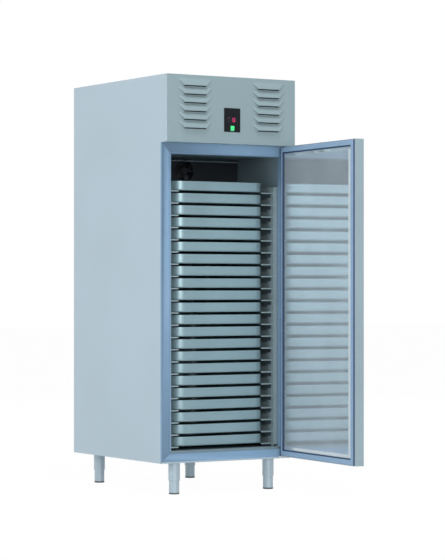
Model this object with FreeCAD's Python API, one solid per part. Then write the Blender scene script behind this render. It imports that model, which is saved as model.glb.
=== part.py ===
"""Upright blast chiller for 22 deep trays, with its door standing open.

Frame: millimetres, +Z up, +Y towards the back, +X to the right as seen from the front.
The origin is on the floor, at the centre of the cabinet's footprint.
"""
import FreeCAD, Part
import math
import os

V = FreeCAD.Vector
UP = V(0, 0, 1)

# ---------------------------------------------------------------- driving sizes
# Cabinet
width = 744.0
depth = 960.0
height = 2050.0
leg_height = 154.0
fascia_height = 330.0
fascia_overhang = 51.0
side_wall = 50.0
back_wall = 50.0
roof_wall = 51.0
floor_wall = 58.0
outer_sheet = 1.2
liner_sheet = 1.0
panel_flange = 18.0
fascia_return = 20.0
base_lip = 8.0

# Door frame round the mouth
frame_side = 47.0
frame_bottom = 38.5
frame_thickness = 12.0
frame_chamfer = 2.0
liner_flange = 15.0
liner_cove = 12.0

# Louvres pressed out of the fascia
louvre_rows = 6
louvre_pitch = 41.3
louvre_width = 198.0
louvre_height = 33.0
louvre_taper = 34.0
louvre_proud = 12.0
louvre_lip = 4.0
louvre_from_side = 160.0
louvre_first_slot = 71.0
louvre_slit = 3.0

# Control panel
plate_width = 94.0
plate_height = 118.0
plate_thickness = 1.5
plate_above_fascia_foot = 58.0
plate_corner = 3.0
display_width = 58.0
display_height = 28.0
display_above_plate_foot = 46.0
thermostat_depth = 55.0
thermostat_flange = 6.0

# Rocker switch
rocker_width = 20.0
rocker_radius = 13.0
rocker_tilt = 8.0
rocker_above_plate_foot = 18.5
rocker_pivot_depth = 5.0
rocker_gap = 0.3
trunnion_radius = 2.0
trunnion_length = 1.2
switch_wall = 2.0
switch_depth = 24.0
bezel_width = 26.0
bezel_height = 31.0
bezel_proud = 1.0

# Door
door_side_gap = 7.0
door_foot_gap = 12.0
door_head_gap = 3.0
door_thickness = 48.0
door_rest_angle = 85.5
pivot_from_edge = 25.0
pivot_from_inner_face = 30.0
gasket_inset = 4.0
gasket_width = 25.0
gasket_proud = 9.0
gasket_lip = 6.0
gasket_lip_height = 1.0
gasket_squeeze_gap = 0.5
door_rim = 12.0
liner_border = 16.0
liner_emboss = 6.0
grip_from_edge = 22.0
grip_width = 42.0
grip_height = 300.0
grip_depth = 24.0
grip_mid_height = 1050.0

# Hinges
pin_radius = 6.0
pin_length = 14.0
pin_clearance = 0.05
bush_radius = 9.0
hinge_plate = 2.4
hinge_nose = 11.0
hinge_door_gap = 0.4

# Trays, their slides and the toothed posts
tray_count = 22
tray_side_gap = 34.0
tray_back_gap = 152.0
tray_height = 47.0
tray_wall = 1.2
tray_corner = 60.0
first_tray_rise = 18.0
top_tray_gap = 8.0
tray_front_setback = 57.0
tray_gap = 0.3
slide_under_tray = 24.0
slide_sheet = 1.5
slide_guide = 25.0
slide_end_gap = 0.3
post_sheet = 1.5
post_width = 23.0
post_depth = 62.0
post_before_tray = 24.0
post_strip = 26.0
post_wall_leg = 20.0
notch_height = 26.0
top_tooth = 27.0

# Legs with adjustable feet
leg_inset = 98.0
sleeve_radius = 28.5
sleeve_length = 88.0
sleeve_cap = 3.0
foot_radius = 25.4
foot_in_sleeve = 60.0
foot_clearance = 0.08
sole_height = 7.0
sole_radius = 26.2

# Flats on turned pieces and steps in rounded corners
drum_sides = 24
corner_steps = 2

# Refrigeration unit on the roof deck
unit_side_gap = 42.0
unit_front_gap = 230.0
unit_back_gap = 40.0
unit_sheet = 1.5
unit_lip = 15.0
coil_side_gap = 100.0
coil_height = 250.0
coil_depth = 60.0
coil_front_gap = 20.0
fin_count = 13
fin_depth = 8.0
fin_share = 0.35
coil_end_sheet = 2.0
shroud_depth = 40.0
shroud_sheet = 1.2
fan_hole_radius = 100.0
fan_tip_gap = 4.0
fan_in_shroud = 8.0
fan_blades = 5
fan_hub_radius = 28.0
fan_hub_length = 30.0
fan_chord = 52.0
fan_blade_sheet = 2.0
fan_root_pitch = 42.0
fan_tip_pitch = 24.0
shaft_radius = 4.0
shaft_clearance = 0.05
motor_radius = 40.0
motor_length = 62.0
motor_gap = 8.0
motor_arm = 12.0
motor_arm_sheet = 3.0
compressor_from_side = 207.0
compressor_from_back = 290.0
compressor_radius = 84.0
compressor_height = 186.0
compressor_seam = 4.0
compressor_foot_height = 18.0
compressor_foot_reach = 118.0
box_width = 150.0
box_depth = 120.0
box_height = 110.0
box_from_side = 137.0
box_from_back = 360.0
box_lid = 3.0
gland_radius = 10.0
gland_length = 18.0
line_radius = 4.8
line_bend = 20.0
pipe_sides = 8
bend_steps = 3
line_spacing = 20.0
discharge_rise = 118.0
liquid_rise = 26.0
suction_rise = 62.0
drier_radius = 14.0
drier_length = 90.0
drier_before_duct = 290.0
duct_from_side = 80.0
duct_from_back = 130.0
duct_radius = 22.0

# Evaporator under the chamber's ceiling
evaporator_depth = 449.0
evaporator_drop = 124.0
evaporator_back_gap = 2.0
evaporator_side_gap = 2.0
evaporator_sheet = 1.2
evaporator_lip = 30.0
evaporator_coil_margin = 57.0
evaporator_coil_shift = 20.0
evaporator_coil_depth = 150.0
evaporator_coil_height = 90.0
evaporator_coil_back_gap = 36.0
evaporator_fins = 13
small_fan_hole = 54.0
small_fan_hub = 18.0
small_fan_hub_length = 18.0
small_fan_chord = 30.0
small_motor_radius = 30.0
small_motor_length = 46.0
guard_bar = 6.0
guard_hub = 15.0

# ---------------------------------------------------------------- places that follow
half = width / 2
front = -depth / 2
back = depth / 2
fascia_foot = height - fascia_height
frame_face = front + fascia_overhang
frame_back = frame_face + frame_thickness
frame_foot = leg_height + base_lip
mouth_half = half - frame_side
mouth_floor = frame_foot + frame_bottom
chamber_half = half - side_wall
chamber_back = back - back_wall
chamber_floor = leg_height + floor_wall
chamber_roof = fascia_foot - roof_wall
skin_half = half - outer_sheet
skin_back = back - outer_sheet
foam_front = frame_back + liner_sheet

door_half = half - door_side_gap
door_foot = leg_height + door_foot_gap
door_head = fascia_foot - door_head_gap
door_inner = frame_face - gasket_proud - gasket_squeeze_gap
door_outer = door_inner - door_thickness
pivot = V(door_half - pivot_from_edge, door_inner - pivot_from_inner_face, 0)

plate_foot = fascia_foot + plate_above_fascia_foot
display_mid = plate_foot + display_above_plate_foot + display_height / 2
rocker_mid = plate_foot + rocker_above_plate_foot

tray_front = frame_face + tray_front_setback
tray_length = chamber_back - tray_back_gap - tray_front
first_tray_height = chamber_floor + first_tray_rise
top_tray_height = chamber_roof - evaporator_drop - top_tray_gap - tray_height
tray_pitch = (top_tray_height - first_tray_height) / (tray_count - 1)
tray_heights = [first_tray_height + tray_pitch * level for level in range(tray_count)]
post_inner = chamber_half - post_width
tray_width = 2 * (post_inner - tray_side_gap)
slide_tip = tray_width / 2 - slide_under_tray
front_post = tray_front - post_before_tray
slide_front = front_post + post_strip + slide_end_gap
rear_post = tray_front + tray_length - post_before_tray + post_strip
slide_back = rear_post - post_strip - slide_end_gap

deck = fascia_foot
unit_floor = deck + unit_sheet
unit_half = half - unit_side_gap
unit_front = front + unit_front_gap
unit_back = back - unit_back_gap
coil_length = 2 * (unit_half - coil_side_gap)
compressor_x = compressor_from_side - half
compressor_y = back - compressor_from_back
box_x = half - box_from_side
box_y = back - box_from_back
duct_x = duct_from_side - half
duct_y = back - duct_from_back
drier_start = duct_y - drier_before_duct
coil_front = unit_front + coil_front_gap
shroud_back = coil_front + coil_depth + shroud_depth
fan_axis = unit_floor + coil_height / 2


# ---------------------------------------------------------------- shape helpers
def box(x0, x1, y0, y1, z0, z1):
    return Part.makeBox(x1 - x0, y1 - y0, z1 - z0, V(x0, y0, z0))


def prism(points, run):
    """Solid swept straight from a closed polygon."""
    outline = Part.makePolygon(points + points[:1])
    return Part.Face(outline).extrude(run)


def mirrored(shape):
    """The same piece on the other side of the cabinet."""
    return shape.mirror(V(0, 0, 0), V(1, 0, 0))


def rectangle(x0, x1, z0, z1, y):
    """Corners of an upright rectangle at one depth."""
    return [V(x0, y, z0), V(x1, y, z0), V(x1, y, z1), V(x0, y, z1)]


def flat_faces(a, b, c, d):
    """One face for four points in a plane, or else two triangles on the shorter diagonal."""
    lift = (b - a).cross(d - a).normalize().dot(c - a)
    if abs(lift) < 1e-6:
        return [Part.Face(Part.makePolygon([a, b, c, d, a]))]
    if a.distanceToPoint(c) > b.distanceToPoint(d):
        a, b, c, d = b, c, d, a
    return [Part.Face(Part.makePolygon(ring)) for ring in ([a, b, c, a], [a, c, d, a])]


def lofted(rings):
    """Solid with flat sides through rings that have as many points each."""
    faces = [Part.Face(Part.makePolygon(ring + ring[:1])) for ring in (rings[0], rings[-1])]
    for near, far in zip(rings, rings[1:]):
        for index, corner in enumerate(near):
            following = (index + 1) % len(near)
            faces += flat_faces(corner, near[following], far[following], far[index])
    solid = Part.Solid(Part.Shell(faces))
    if solid.Volume < 0:
        solid.reverse()
    return solid


def rounded_outline(half_x, y0, y1, radius, z):
    """Level rectangle whose corners are rounded in corner_steps."""
    corners = [(half_x, y0), (half_x, y1), (-half_x, y1), (-half_x, y0)]
    points = []
    for index, (x, y) in enumerate(corners):
        cx = x - math.copysign(radius, x)
        cy = y + radius if y == y0 else y - radius
        for step in range(corner_steps + 1):
            angle = math.radians(-90 + 90 * index + 90 * step / corner_steps)
            points.append(V(cx + radius * math.cos(angle), cy + radius * math.sin(angle), z))
    return points


def turned(profile, centre, axis=UP, sides=None):
    """Many-sided solid from (radius, height) points about an axis through centre."""
    turn = FreeCAD.Rotation(UP, axis)
    count = sides or drum_sides
    rings = []
    for radius, rise in profile:
        ring = []
        for side in range(count):
            angle = 2 * math.pi * (side + 0.5) / count
            point = V(radius * math.cos(angle), radius * math.sin(angle), rise)
            ring.append(centre + turn.multVec(point))
        rings.append(ring)
    return lofted(rings)


def tube_along(points, radius, bend):
    """Thin pipe along straight runs joined by round bends, with pipe_sides flats."""
    places = [(points[0], (points[1] - points[0]).normalize())]
    for before, corner, after in zip(points, points[1:], points[2:]):
        way_in = (corner - before).normalize()
        way_out = (after - corner).normalize()
        turn = way_in.getAngle(way_out)
        arc_start = corner - way_in * bend * math.tan(turn / 2)
        middle = arc_start + (way_out - way_in * math.cos(turn)).normalize() * bend
        out = arc_start - middle
        axis = way_in.cross(way_out)
        for step in range(bend_steps + 1):
            rotation = FreeCAD.Rotation(axis, math.degrees(turn) * step / bend_steps)
            places.append((middle + rotation.multVec(out), rotation.multVec(way_in)))
    places.append((points[-1], (points[-1] - points[-2]).normalize()))
    rings = []
    side_way = UP if abs(places[0][1].z) < 0.5 else V(1, 0, 0)
    previous = places[0][1]
    for centre, way in places:
        side_way = FreeCAD.Rotation(previous, way).multVec(side_way)
        other_way = way.cross(side_way)
        ring = []
        for side in range(pipe_sides):
            angle = 2 * math.pi * (side + 0.5) / pipe_sides
            ring.append(centre + (side_way * math.cos(angle) + other_way * math.sin(angle)) * radius)
        rings.append(ring)
        previous = way
    return lofted(rings)


def swung_open(shape):
    """A door piece, drawn closed, turned to where the door stands."""
    shape.rotate(pivot, UP, door_rest_angle)
    return shape


# ---------------------------------------------------------------- cabinet body
def side_panel():
    outline = [
        V(-half, frame_back, leg_height),
        V(-half, back, leg_height),
        V(-half, back, height),
        V(-half, front + outer_sheet, height),
        V(-half, front + outer_sheet, fascia_foot),
        V(-half, frame_back, fascia_foot),
    ]
    skin = prism(outline, V(outer_sheet, 0, 0))
    flange_edge = panel_flange - half
    rear_flange = box(-skin_half, flange_edge, skin_back, back, leg_height, height)
    top_start = front + outer_sheet + fascia_return
    top_flange = box(-skin_half, flange_edge, top_start, skin_back, height - outer_sheet, height)
    return skin.fuse([rear_flange, top_flange])


def rear_panel():
    low = leg_height + outer_sheet
    high = fascia_foot - outer_sheet
    return box(-skin_half, skin_half, skin_back - outer_sheet, skin_back, low, high)


def pipe_duct(z0, z1):
    """Room for the pipes that go down through the roof."""
    return Part.makeCylinder(duct_radius, z1 - z0, V(duct_x, duct_y, z0))


def machine_deck():
    low = fascia_foot - outer_sheet
    plate = box(-skin_half, skin_half, frame_back, skin_back, low, fascia_foot)
    return plate.cut(pipe_duct(low, fascia_foot))


def base_panel():
    floor = box(-skin_half, skin_half, frame_face, skin_back, leg_height, leg_height + outer_sheet)
    lip = box(-half, half, frame_face, frame_face + outer_sheet, leg_height, frame_foot)
    return floor.fuse(lip)


def wall_insulation():
    """Foam slabs of the two sides, back, roof and floor."""
    foam_back = skin_back - outer_sheet
    low = leg_height + outer_sheet
    high = fascia_foot - outer_sheet
    liner_half = chamber_half + liner_sheet
    liner_low = chamber_floor - liner_sheet
    liner_high = chamber_roof + liner_sheet
    liner_back = chamber_back + liner_sheet
    left = box(-skin_half, -liner_half, foam_front, foam_back, liner_low, liner_high)
    rear = box(-liner_half, liner_half, liner_back, foam_back, liner_low, liner_high)
    roof = box(-skin_half, skin_half, foam_front, foam_back, liner_high, high)
    roof = roof.cut(pipe_duct(liner_high, high))
    floor = box(-skin_half, skin_half, foam_front, foam_back, low, liner_low)
    return Part.makeCompound([left, mirrored(left), rear, roof, floor])


def chamber_outline(grow, y):
    """Front view of the chamber, with coved corners at the floor."""
    x = chamber_half + grow
    low = chamber_floor - grow
    high = chamber_roof + grow
    cove = liner_cove + grow
    sag = cove * (1 - math.sqrt(0.5))
    right_foot = V(x, y, low + cove)
    left_foot = V(-x, y, low + cove)
    right_floor = V(x - cove, y, low)
    left_floor = V(cove - x, y, low)
    edges = [
        Part.Arc(left_foot, V(sag - x, y, low + sag), left_floor).toShape(),
        Part.LineSegment(left_floor, right_floor).toShape(),
        Part.Arc(right_floor, V(x - sag, y, low + sag), right_foot).toShape(),
        Part.LineSegment(right_foot, V(x, y, high)).toShape(),
        Part.LineSegment(V(x, y, high), V(-x, y, high)).toShape(),
        Part.LineSegment(V(-x, y, high), left_foot).toShape(),
    ]
    return Part.Face(Part.Wire(edges))


def inner_liner():
    run = V(0, chamber_back - frame_back, 0)
    outside = chamber_outline(liner_sheet, frame_back).extrude(run + V(0, liner_sheet, 0))
    reach = chamber_half + liner_flange
    low = mouth_floor - liner_flange
    high = chamber_roof + liner_flange
    flange = box(-reach, reach, frame_back, foam_front, low, high)
    shell = outside.fuse(flange)
    hollow = chamber_outline(0, frame_back).extrude(run)
    return shell.cut([hollow, pipe_duct(chamber_roof, chamber_roof + liner_sheet)])


def door_frame():
    """Four mitred bars, each with its front edges taken off."""
    outer = [(-half, frame_foot), (half, frame_foot), (half, fascia_foot), (-half, fascia_foot)]
    inner = [
        (-mouth_half, mouth_floor),
        (mouth_half, mouth_floor),
        (mouth_half, chamber_roof),
        (-mouth_half, chamber_roof),
    ]
    cut_in = frame_chamfer
    mouth = lofted([
        rectangle(-mouth_half - cut_in, mouth_half + cut_in, mouth_floor - cut_in,
                  chamber_roof + cut_in, frame_face),
        rectangle(-mouth_half, mouth_half, mouth_floor, chamber_roof, frame_face + cut_in),
    ])
    bars = []
    for index in range(4):
        following = (index + 1) % 4
        outline = [outer[index], outer[following], inner[following], inner[index]]
        bar = prism([V(x, frame_face, z) for x, z in outline], V(0, frame_thickness, 0))
        bars.append(bar.cut(mouth))
    return Part.makeCompound(bars)


# ---------------------------------------------------------------- fascia and controls
def louvre_form(x_mid, slot, shrink, base):
    """A pressed hood: long at its top edge, short and proud at its open lip."""
    top_half = louvre_width / 2 - shrink
    low_half = top_half - louvre_taper
    lip_front = front - louvre_proud + shrink
    lip_half = low_half - louvre_lip
    high = slot + louvre_height - shrink
    lip_high = slot + louvre_lip
    root = [
        V(x_mid - low_half, base, slot),
        V(x_mid + low_half, base, slot),
        V(x_mid + top_half, base, high),
        V(x_mid - top_half, base, high),
    ]
    crest_half = lip_half + louvre_taper * louvre_lip / (louvre_height - shrink)
    crest = [
        V(x_mid - lip_half, lip_front, slot),
        V(x_mid + lip_half, lip_front, slot),
        V(x_mid + crest_half, lip_front, lip_high),
        V(x_mid - crest_half, lip_front, lip_high),
    ]
    return lofted([root, crest])


def louvre_slit_form(x_mid, slot):
    """Open strip in the sheet just under a hood's lip."""
    reach = louvre_width / 2 - louvre_taper - louvre_lip
    return box(x_mid - reach, x_mid + reach, front, front + outer_sheet, slot - louvre_slit, slot)


def fascia_panel():
    inside = front + outer_sheet
    sheet = box(-half, half, front, inside, fascia_foot, height)
    foot_return = box(-skin_half, skin_half, inside, frame_back, fascia_foot, fascia_foot + outer_sheet)
    return_edge = inside + fascia_return
    head_low = height - outer_sheet
    head_return = box(-skin_half, skin_half, inside, return_edge, head_low, height)
    side_low = fascia_foot + outer_sheet
    side_return = box(-skin_half, outer_sheet - skin_half, inside, return_edge, side_low, head_low)
    hoods = []
    hollows = []
    for x_mid in (louvre_from_side - half, half - louvre_from_side):
        for row in range(louvre_rows):
            slot = fascia_foot + louvre_first_slot + row * louvre_pitch
            hoods.append(louvre_form(x_mid, slot, 0, front))
            hollows.append(louvre_form(x_mid, slot, outer_sheet, inside))
            hollows.append(louvre_slit_form(x_mid, slot))
    panel = sheet.fuse([foot_return, head_return, side_return, mirrored(side_return)] + hoods)
    half_window = display_width / 2 + thermostat_flange / 2
    high_window = display_height / 2 + thermostat_flange / 2
    display_hole = box(-half_window, half_window, front, inside,
                       display_mid - high_window, display_mid + high_window)
    return panel.cut(hollows + [display_hole, switch_hole(front, inside)])


def switch_hole(y0, y1):
    across = rocker_width / 2 + rocker_gap + switch_wall
    up = rocker_radius + rocker_gap + switch_wall / 2
    return box(-across, across, y0, y1, rocker_mid - up, rocker_mid + up)


def control_plate():
    outline = rounded_outline(plate_width / 2, 0, plate_height, plate_corner, 0)
    plate = prism(outline, V(0, 0, plate_thickness))
    plate.rotate(V(0, 0, 0), V(1, 0, 0), 90)
    plate.translate(V(0, front, plate_foot))
    plate_front = front - plate_thickness
    window = box(-display_width / 2, display_width / 2, plate_front, front,
                 display_mid - display_height / 2, display_mid + display_height / 2)
    return plate.cut([window, switch_hole(plate_front, front)])


def thermostat():
    lens = box(-display_width / 2, display_width / 2, front - plate_thickness, front,
               display_mid - display_height / 2, display_mid + display_height / 2)
    body_half = display_width / 2 + thermostat_flange / 2
    body_up = display_height / 2 + thermostat_flange / 2
    body = box(-body_half, body_half, front, front + thermostat_depth,
               display_mid - body_up, display_mid + body_up)
    terminal_row = box(6 - body_half, body_half - 6, front + thermostat_depth,
                       front + thermostat_depth + 8, display_mid - 8, display_mid + 8)
    return lens.fuse([body, terminal_row])


def switch_housing():
    plate_front = front - plate_thickness
    body = switch_hole(plate_front, front + switch_depth)
    bezel = box(-bezel_width / 2, bezel_width / 2, plate_front - bezel_proud, plate_front,
                rocker_mid - bezel_height / 2 - 1, rocker_mid + bezel_height / 2 + 1)
    across = rocker_width / 2 + rocker_gap
    centre = V(-across, plate_front + rocker_pivot_depth, rocker_mid)
    room_radius = rocker_radius + rocker_gap
    room = turned([(room_radius, 0), (room_radius, 2 * across)], centre, V(1, 0, 0))
    pin_room = trunnion_length + rocker_gap
    seat_start = centre - V(pin_room, 0, 0)
    seat_length = 2 * (across + pin_room)
    seats = Part.makeCylinder(trunnion_radius + pin_clearance, seat_length, seat_start, V(1, 0, 0))
    return body.fuse(bezel).cut([room, seats])


def rocker_switch():
    """The paddle, with its lower half pressed in."""
    plate_front = front - plate_thickness
    pivot_y = plate_front + rocker_pivot_depth
    start = V(-rocker_width / 2, pivot_y, rocker_mid)
    drum = turned([(rocker_radius, 0), (rocker_radius, rocker_width)], start, V(1, 0, 0))
    reach = rocker_radius * 2
    ridge = pivot_y - rocker_pivot_depth - bezel_proud - 2.5
    slope = math.tan(math.radians(rocker_tilt)) * reach
    start_x = -rocker_width / 2
    front_cut = [
        V(start_x, ridge, rocker_mid),
        V(start_x, ridge + slope, rocker_mid + reach),
        V(start_x, ridge - reach, rocker_mid + reach),
        V(start_x, ridge - reach, rocker_mid - reach),
        V(start_x, ridge + slope, rocker_mid - reach),
    ]
    paddle = drum.cut(prism(front_cut, V(rocker_width, 0, 0)))
    pin_start = V(start_x - trunnion_length, pivot_y, rocker_mid)
    pin_run = rocker_width + 2 * trunnion_length
    pins = Part.makeCylinder(trunnion_radius, pin_run, pin_start, V(1, 0, 0))
    paddle = paddle.fuse(pins)
    paddle.rotate(V(0, pivot_y, rocker_mid), V(1, 0, 0), rocker_tilt)
    return paddle


# ---------------------------------------------------------------- legs
def leg_places():
    return {
        "front_left": (-1, front + leg_inset),
        "front_right": (1, front + leg_inset),
        "rear_left": (-1, back - leg_inset),
        "rear_right": (1, back - leg_inset),
    }


def leg_sleeve(side, y):
    low = leg_height - sleeve_length
    bore = foot_radius + foot_clearance
    place = V(side * (half - leg_inset), y, low)
    outside = turned([(sleeve_radius, 0), (sleeve_radius, sleeve_length)], place)
    hollow = turned([(bore, 0), (bore, sleeve_length - sleeve_cap)], place)
    return outside.cut(hollow)


def leg_foot(side, y):
    """Steel stem that screws up into the sleeve, on its plastic sole."""
    top = leg_height - sleeve_length + foot_in_sleeve
    place = V(side * (half - leg_inset), y, 0)
    stem = turned([(foot_radius, sole_height), (foot_radius, top)], place)
    sole = turned([(sole_radius, 0), (sole_radius, sole_height)], place)
    return Part.makeCompound([stem, sole])


# ---------------------------------------------------------------- trays and rack
def tray_body(inset, z_low, z_high):
    """Pan form with round upright corners."""
    half_x = tray_width / 2 - inset
    y0 = tray_front + inset
    y1 = tray_front + tray_length - inset
    outline = rounded_outline(half_x, y0, y1, tray_corner - inset, z_low)
    return prism(outline, V(0, 0, z_high - z_low))


def tray(level_height):
    low = level_height + tray_gap
    high = level_height + tray_height
    return tray_body(0, low, high).cut(tray_body(tray_wall, low + tray_wall, high))


def tray_slide(level_height):
    """Angle strip: the tray slides on its shelf, its upstand lies behind a tooth."""
    outer = post_inner + post_sheet + slide_sheet
    low = level_height - slide_sheet
    outline = [
        V(slide_tip, slide_front, low),
        V(outer, slide_front, low),
        V(outer, slide_front, level_height + slide_guide),
        V(outer - slide_sheet, slide_front, level_height + slide_guide),
        V(outer - slide_sheet, slide_front, level_height),
        V(slide_tip, slide_front, level_height),
    ]
    return prism(outline, V(0, slide_back - slide_front, 0))


def post(y_outer, inward):
    """Folded post: toothed web, outer face and a leg on the chamber wall."""
    low = chamber_floor
    high = tray_heights[-1] + top_tooth
    web_end = y_outer + inward * post_depth
    fold = y_outer + inward * post_sheet
    leg_end = y_outer + inward * post_wall_leg
    notch_start = y_outer + inward * post_strip
    xs = (post_inner, post_inner + post_sheet)
    web = box(*xs, min(y_outer, web_end), max(y_outer, web_end), low, high)
    fold_low = low + liner_cove
    face = box(xs[1], chamber_half, min(y_outer, fold), max(y_outer, fold), fold_low, high)
    leg = box(chamber_half - post_sheet, chamber_half, min(fold, leg_end), max(fold, leg_end),
              fold_low, high)
    notches = []
    for level_height in tray_heights:
        notch_low = max(level_height - notch_height, low)
        notch = box(*xs, min(notch_start, web_end), max(notch_start, web_end), notch_low, level_height)
        notches.append(notch)
    return web.cut(notches).fuse([face, leg])


def rack_posts():
    right = [post(front_post, 1), post(rear_post, -1)]
    return Part.makeCompound(right + [mirrored(shape) for shape in right])


def tray_slides():
    right = [tray_slide(level_height) for level_height in tray_heights]
    return Part.makeCompound(right + [mirrored(shape) for shape in right])


# ---------------------------------------------------------------- door
def grip_hollow(grow):
    """Recessed pull near the free edge, with its corners taken off."""
    x_mid = grip_from_edge + grip_width / 2 - door_half
    across = grip_width / 2 + grow
    up = grip_height / 2 + grow
    corner = grip_width / 4
    outline = [
        V(x_mid - across, door_outer, grip_mid_height - up + corner),
        V(x_mid - across + corner, door_outer, grip_mid_height - up),
        V(x_mid + across - corner, door_outer, grip_mid_height - up),
        V(x_mid + across, door_outer, grip_mid_height - up + corner),
        V(x_mid + across, door_outer, grip_mid_height + up - corner),
        V(x_mid + across - corner, door_outer, grip_mid_height + up),
        V(x_mid - across + corner, door_outer, grip_mid_height + up),
        V(x_mid - across, door_outer, grip_mid_height + up - corner),
    ]
    return prism(outline, V(0, grip_depth + grow, 0))


def bush_seat(z0, z1):
    return turned([(bush_radius, z0), (bush_radius, z1)], pivot)


def bush_seats():
    """Holes for the hinge bushes in the door's two ends."""
    return [
        bush_seat(door_foot, door_foot + pin_length + 1),
        bush_seat(door_head - pin_length - 1, door_head),
    ]


def door_outer_skin():
    """Folded steel pan with a rim on the inner face and a recessed pull."""
    body = box(-door_half, door_half, door_outer, door_inner, door_foot, door_head)
    room = box(outer_sheet - door_half, door_half - outer_sheet, door_outer + outer_sheet,
               door_inner - outer_sheet, door_foot + outer_sheet, door_head - outer_sheet)
    opening = box(door_rim - door_half, door_half - door_rim, door_inner - outer_sheet, door_inner,
                  door_foot + door_rim, door_head - door_rim)
    pan = body.cut([room, opening])
    pull = grip_hollow(outer_sheet).cut(grip_hollow(0))
    return pan.cut([grip_hollow(0)] + bush_seats()).fuse(pull)


def door_insulation():
    foam = box(outer_sheet - door_half, door_half - outer_sheet, door_outer + outer_sheet,
               door_inner - outer_sheet, door_foot + outer_sheet, door_head - outer_sheet)
    field = emboss_form(outer_sheet, door_inner - outer_sheet)
    return foam.fuse(field).cut([grip_hollow(outer_sheet)] + bush_seats())


def emboss_form(shrink, base):
    """Raised field of the inner panel, with a sloping border."""
    from_edge = gasket_inset + gasket_width + gasket_lip + 1 + shrink
    reach = door_half - from_edge
    low = door_foot + from_edge
    high = door_head - from_edge
    field = door_inner + liner_emboss - shrink
    return lofted([
        rectangle(-reach, reach, low, high, base),
        rectangle(liner_border - reach, reach - liner_border, low + liner_border,
                  high - liner_border, field),
    ])


def door_liner():
    flat = box(door_rim - door_half, door_half - door_rim, door_inner - outer_sheet, door_inner,
               door_foot + door_rim, door_head - door_rim)
    field = emboss_form(0, door_inner)
    hollow = emboss_form(outer_sheet, door_inner - outer_sheet)
    return flat.fuse(field).cut(hollow)


def gasket_block(levels):
    """Stack of rectangles: inset, inset on the hinge side, and rise from the door's face."""
    rings = []
    for inset, hinge_inset, rise in levels:
        rings.append(rectangle(inset - door_half, door_half - hinge_inset, door_foot + inset,
                               door_head - inset, door_inner + rise))
    return lofted(rings)


def door_gasket():
    """Bevelled so that its hinge side clears the frame as the door swings."""
    crest = gasket_proud
    start = gasket_inset
    end = gasket_inset + gasket_width
    lip_end = end + gasket_lip
    outside = gasket_block([
        (start, start, 0),
        (start, start, crest * 0.33),
        (start + 0.6, start + 6, crest * 0.68),
        (start + 1.2, start + 11, crest * 0.88),
        (start + 3.5, start + 16, crest),
    ])
    inside = gasket_block([
        (lip_end, lip_end, 0),
        (lip_end, lip_end, gasket_lip_height),
        (end, end, gasket_lip_height),
        (end, end, crest * 0.8),
        (end - 2, end - 2, crest),
    ])
    return outside.cut(inside)


def door_bushes():
    bore = Part.makeCylinder(pin_radius + pin_clearance, door_head, V(pivot.x, pivot.y, 0))
    return Part.makeCompound([seat.cut(bore) for seat in bush_seats()])


def hinge_leaf(z0):
    """Level plate that narrows from the frame to a round nose under the pin."""
    outline = [
        V(2 * pivot.x - half, frame_face, z0),
        V(half, frame_face, z0),
        V(pivot.x + hinge_nose - 1, pivot.y, z0),
        V(pivot.x - hinge_nose + 1, pivot.y, z0),
    ]
    nose = turned([(hinge_nose, z0), (hinge_nose, z0 + hinge_plate)], pivot)
    return prism(outline, V(0, 0, hinge_plate)).fuse(nose)


def hinge_brackets():
    low_leaf = door_foot - hinge_door_gap - hinge_plate
    lower = hinge_leaf(low_leaf)
    leg = box(2 * pivot.x - half, half, frame_face - hinge_plate, frame_face,
              leg_height, low_leaf)
    low_pin = Part.makeCylinder(pin_radius, pin_length + hinge_door_gap,
                                V(pivot.x, pivot.y, low_leaf + hinge_plate))
    high_leaf = fascia_foot - hinge_plate
    upper = hinge_leaf(high_leaf)
    high_pin = Part.makeCylinder(pin_radius, pin_length + hinge_door_gap,
                                 V(pivot.x, pivot.y, high_leaf - pin_length - hinge_door_gap))
    return Part.makeCompound([lower.fuse([leg, low_pin]), upper.fuse(high_pin)])


# ---------------------------------------------------------------- refrigeration unit
def unit_base():
    x = unit_half
    pan = box(-x, x, unit_front, unit_back, deck, deck + unit_lip)
    room = box(unit_sheet - x, x - unit_sheet, unit_front + unit_sheet, unit_back - unit_sheet,
               unit_floor, deck + unit_lip)
    return pan.cut([room, pipe_duct(deck, unit_floor)])


def finned_coil(length, deep, tall, fins, x_mid, y0, z0):
    """Coil block with fins on both faces, between two end sheets."""
    pitch = length / fins
    fin = pitch * fin_share
    x0 = x_mid - length / 2
    inner_front = y0 + fin_depth
    inner_back = y0 + deep - fin_depth
    near = []
    far = []
    for index in range(fins):
        left = x0 + index * pitch
        near += [V(left, y0, z0), V(left + fin, y0, z0)]
        near += [V(left + fin, inner_front, z0), V(left + pitch, inner_front, z0)]
        far += [V(left, y0 + deep, z0), V(left + fin, y0 + deep, z0)]
        far += [V(left + fin, inner_back, z0), V(left + pitch, inner_back, z0)]
    block = prism(near + far[::-1], V(0, 0, tall))
    ends = []
    for x in (x0 - coil_end_sheet, x0 + length):
        ends.append(box(x, x + coil_end_sheet, y0, y0 + deep, z0, z0 + tall))
    return block.fuse(ends)


def condenser_coil():
    return finned_coil(coil_length, coil_depth, coil_height, fin_count, 0, coil_front, unit_floor)


def condenser_shroud():
    x = coil_length / 2
    y0 = coil_front + coil_depth
    top = unit_floor + coil_height
    shell = box(-x, x, y0, shroud_back, unit_floor, top)
    room = box(shroud_sheet - x, x - shroud_sheet, y0, shroud_back - shroud_sheet,
               unit_floor + shroud_sheet, top - shroud_sheet)
    plate_start = V(0, shroud_back - shroud_sheet, fan_axis)
    hole = Part.makeCylinder(fan_hole_radius, shroud_sheet, plate_start, V(0, 1, 0))
    return shell.cut([room, hole])


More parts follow.
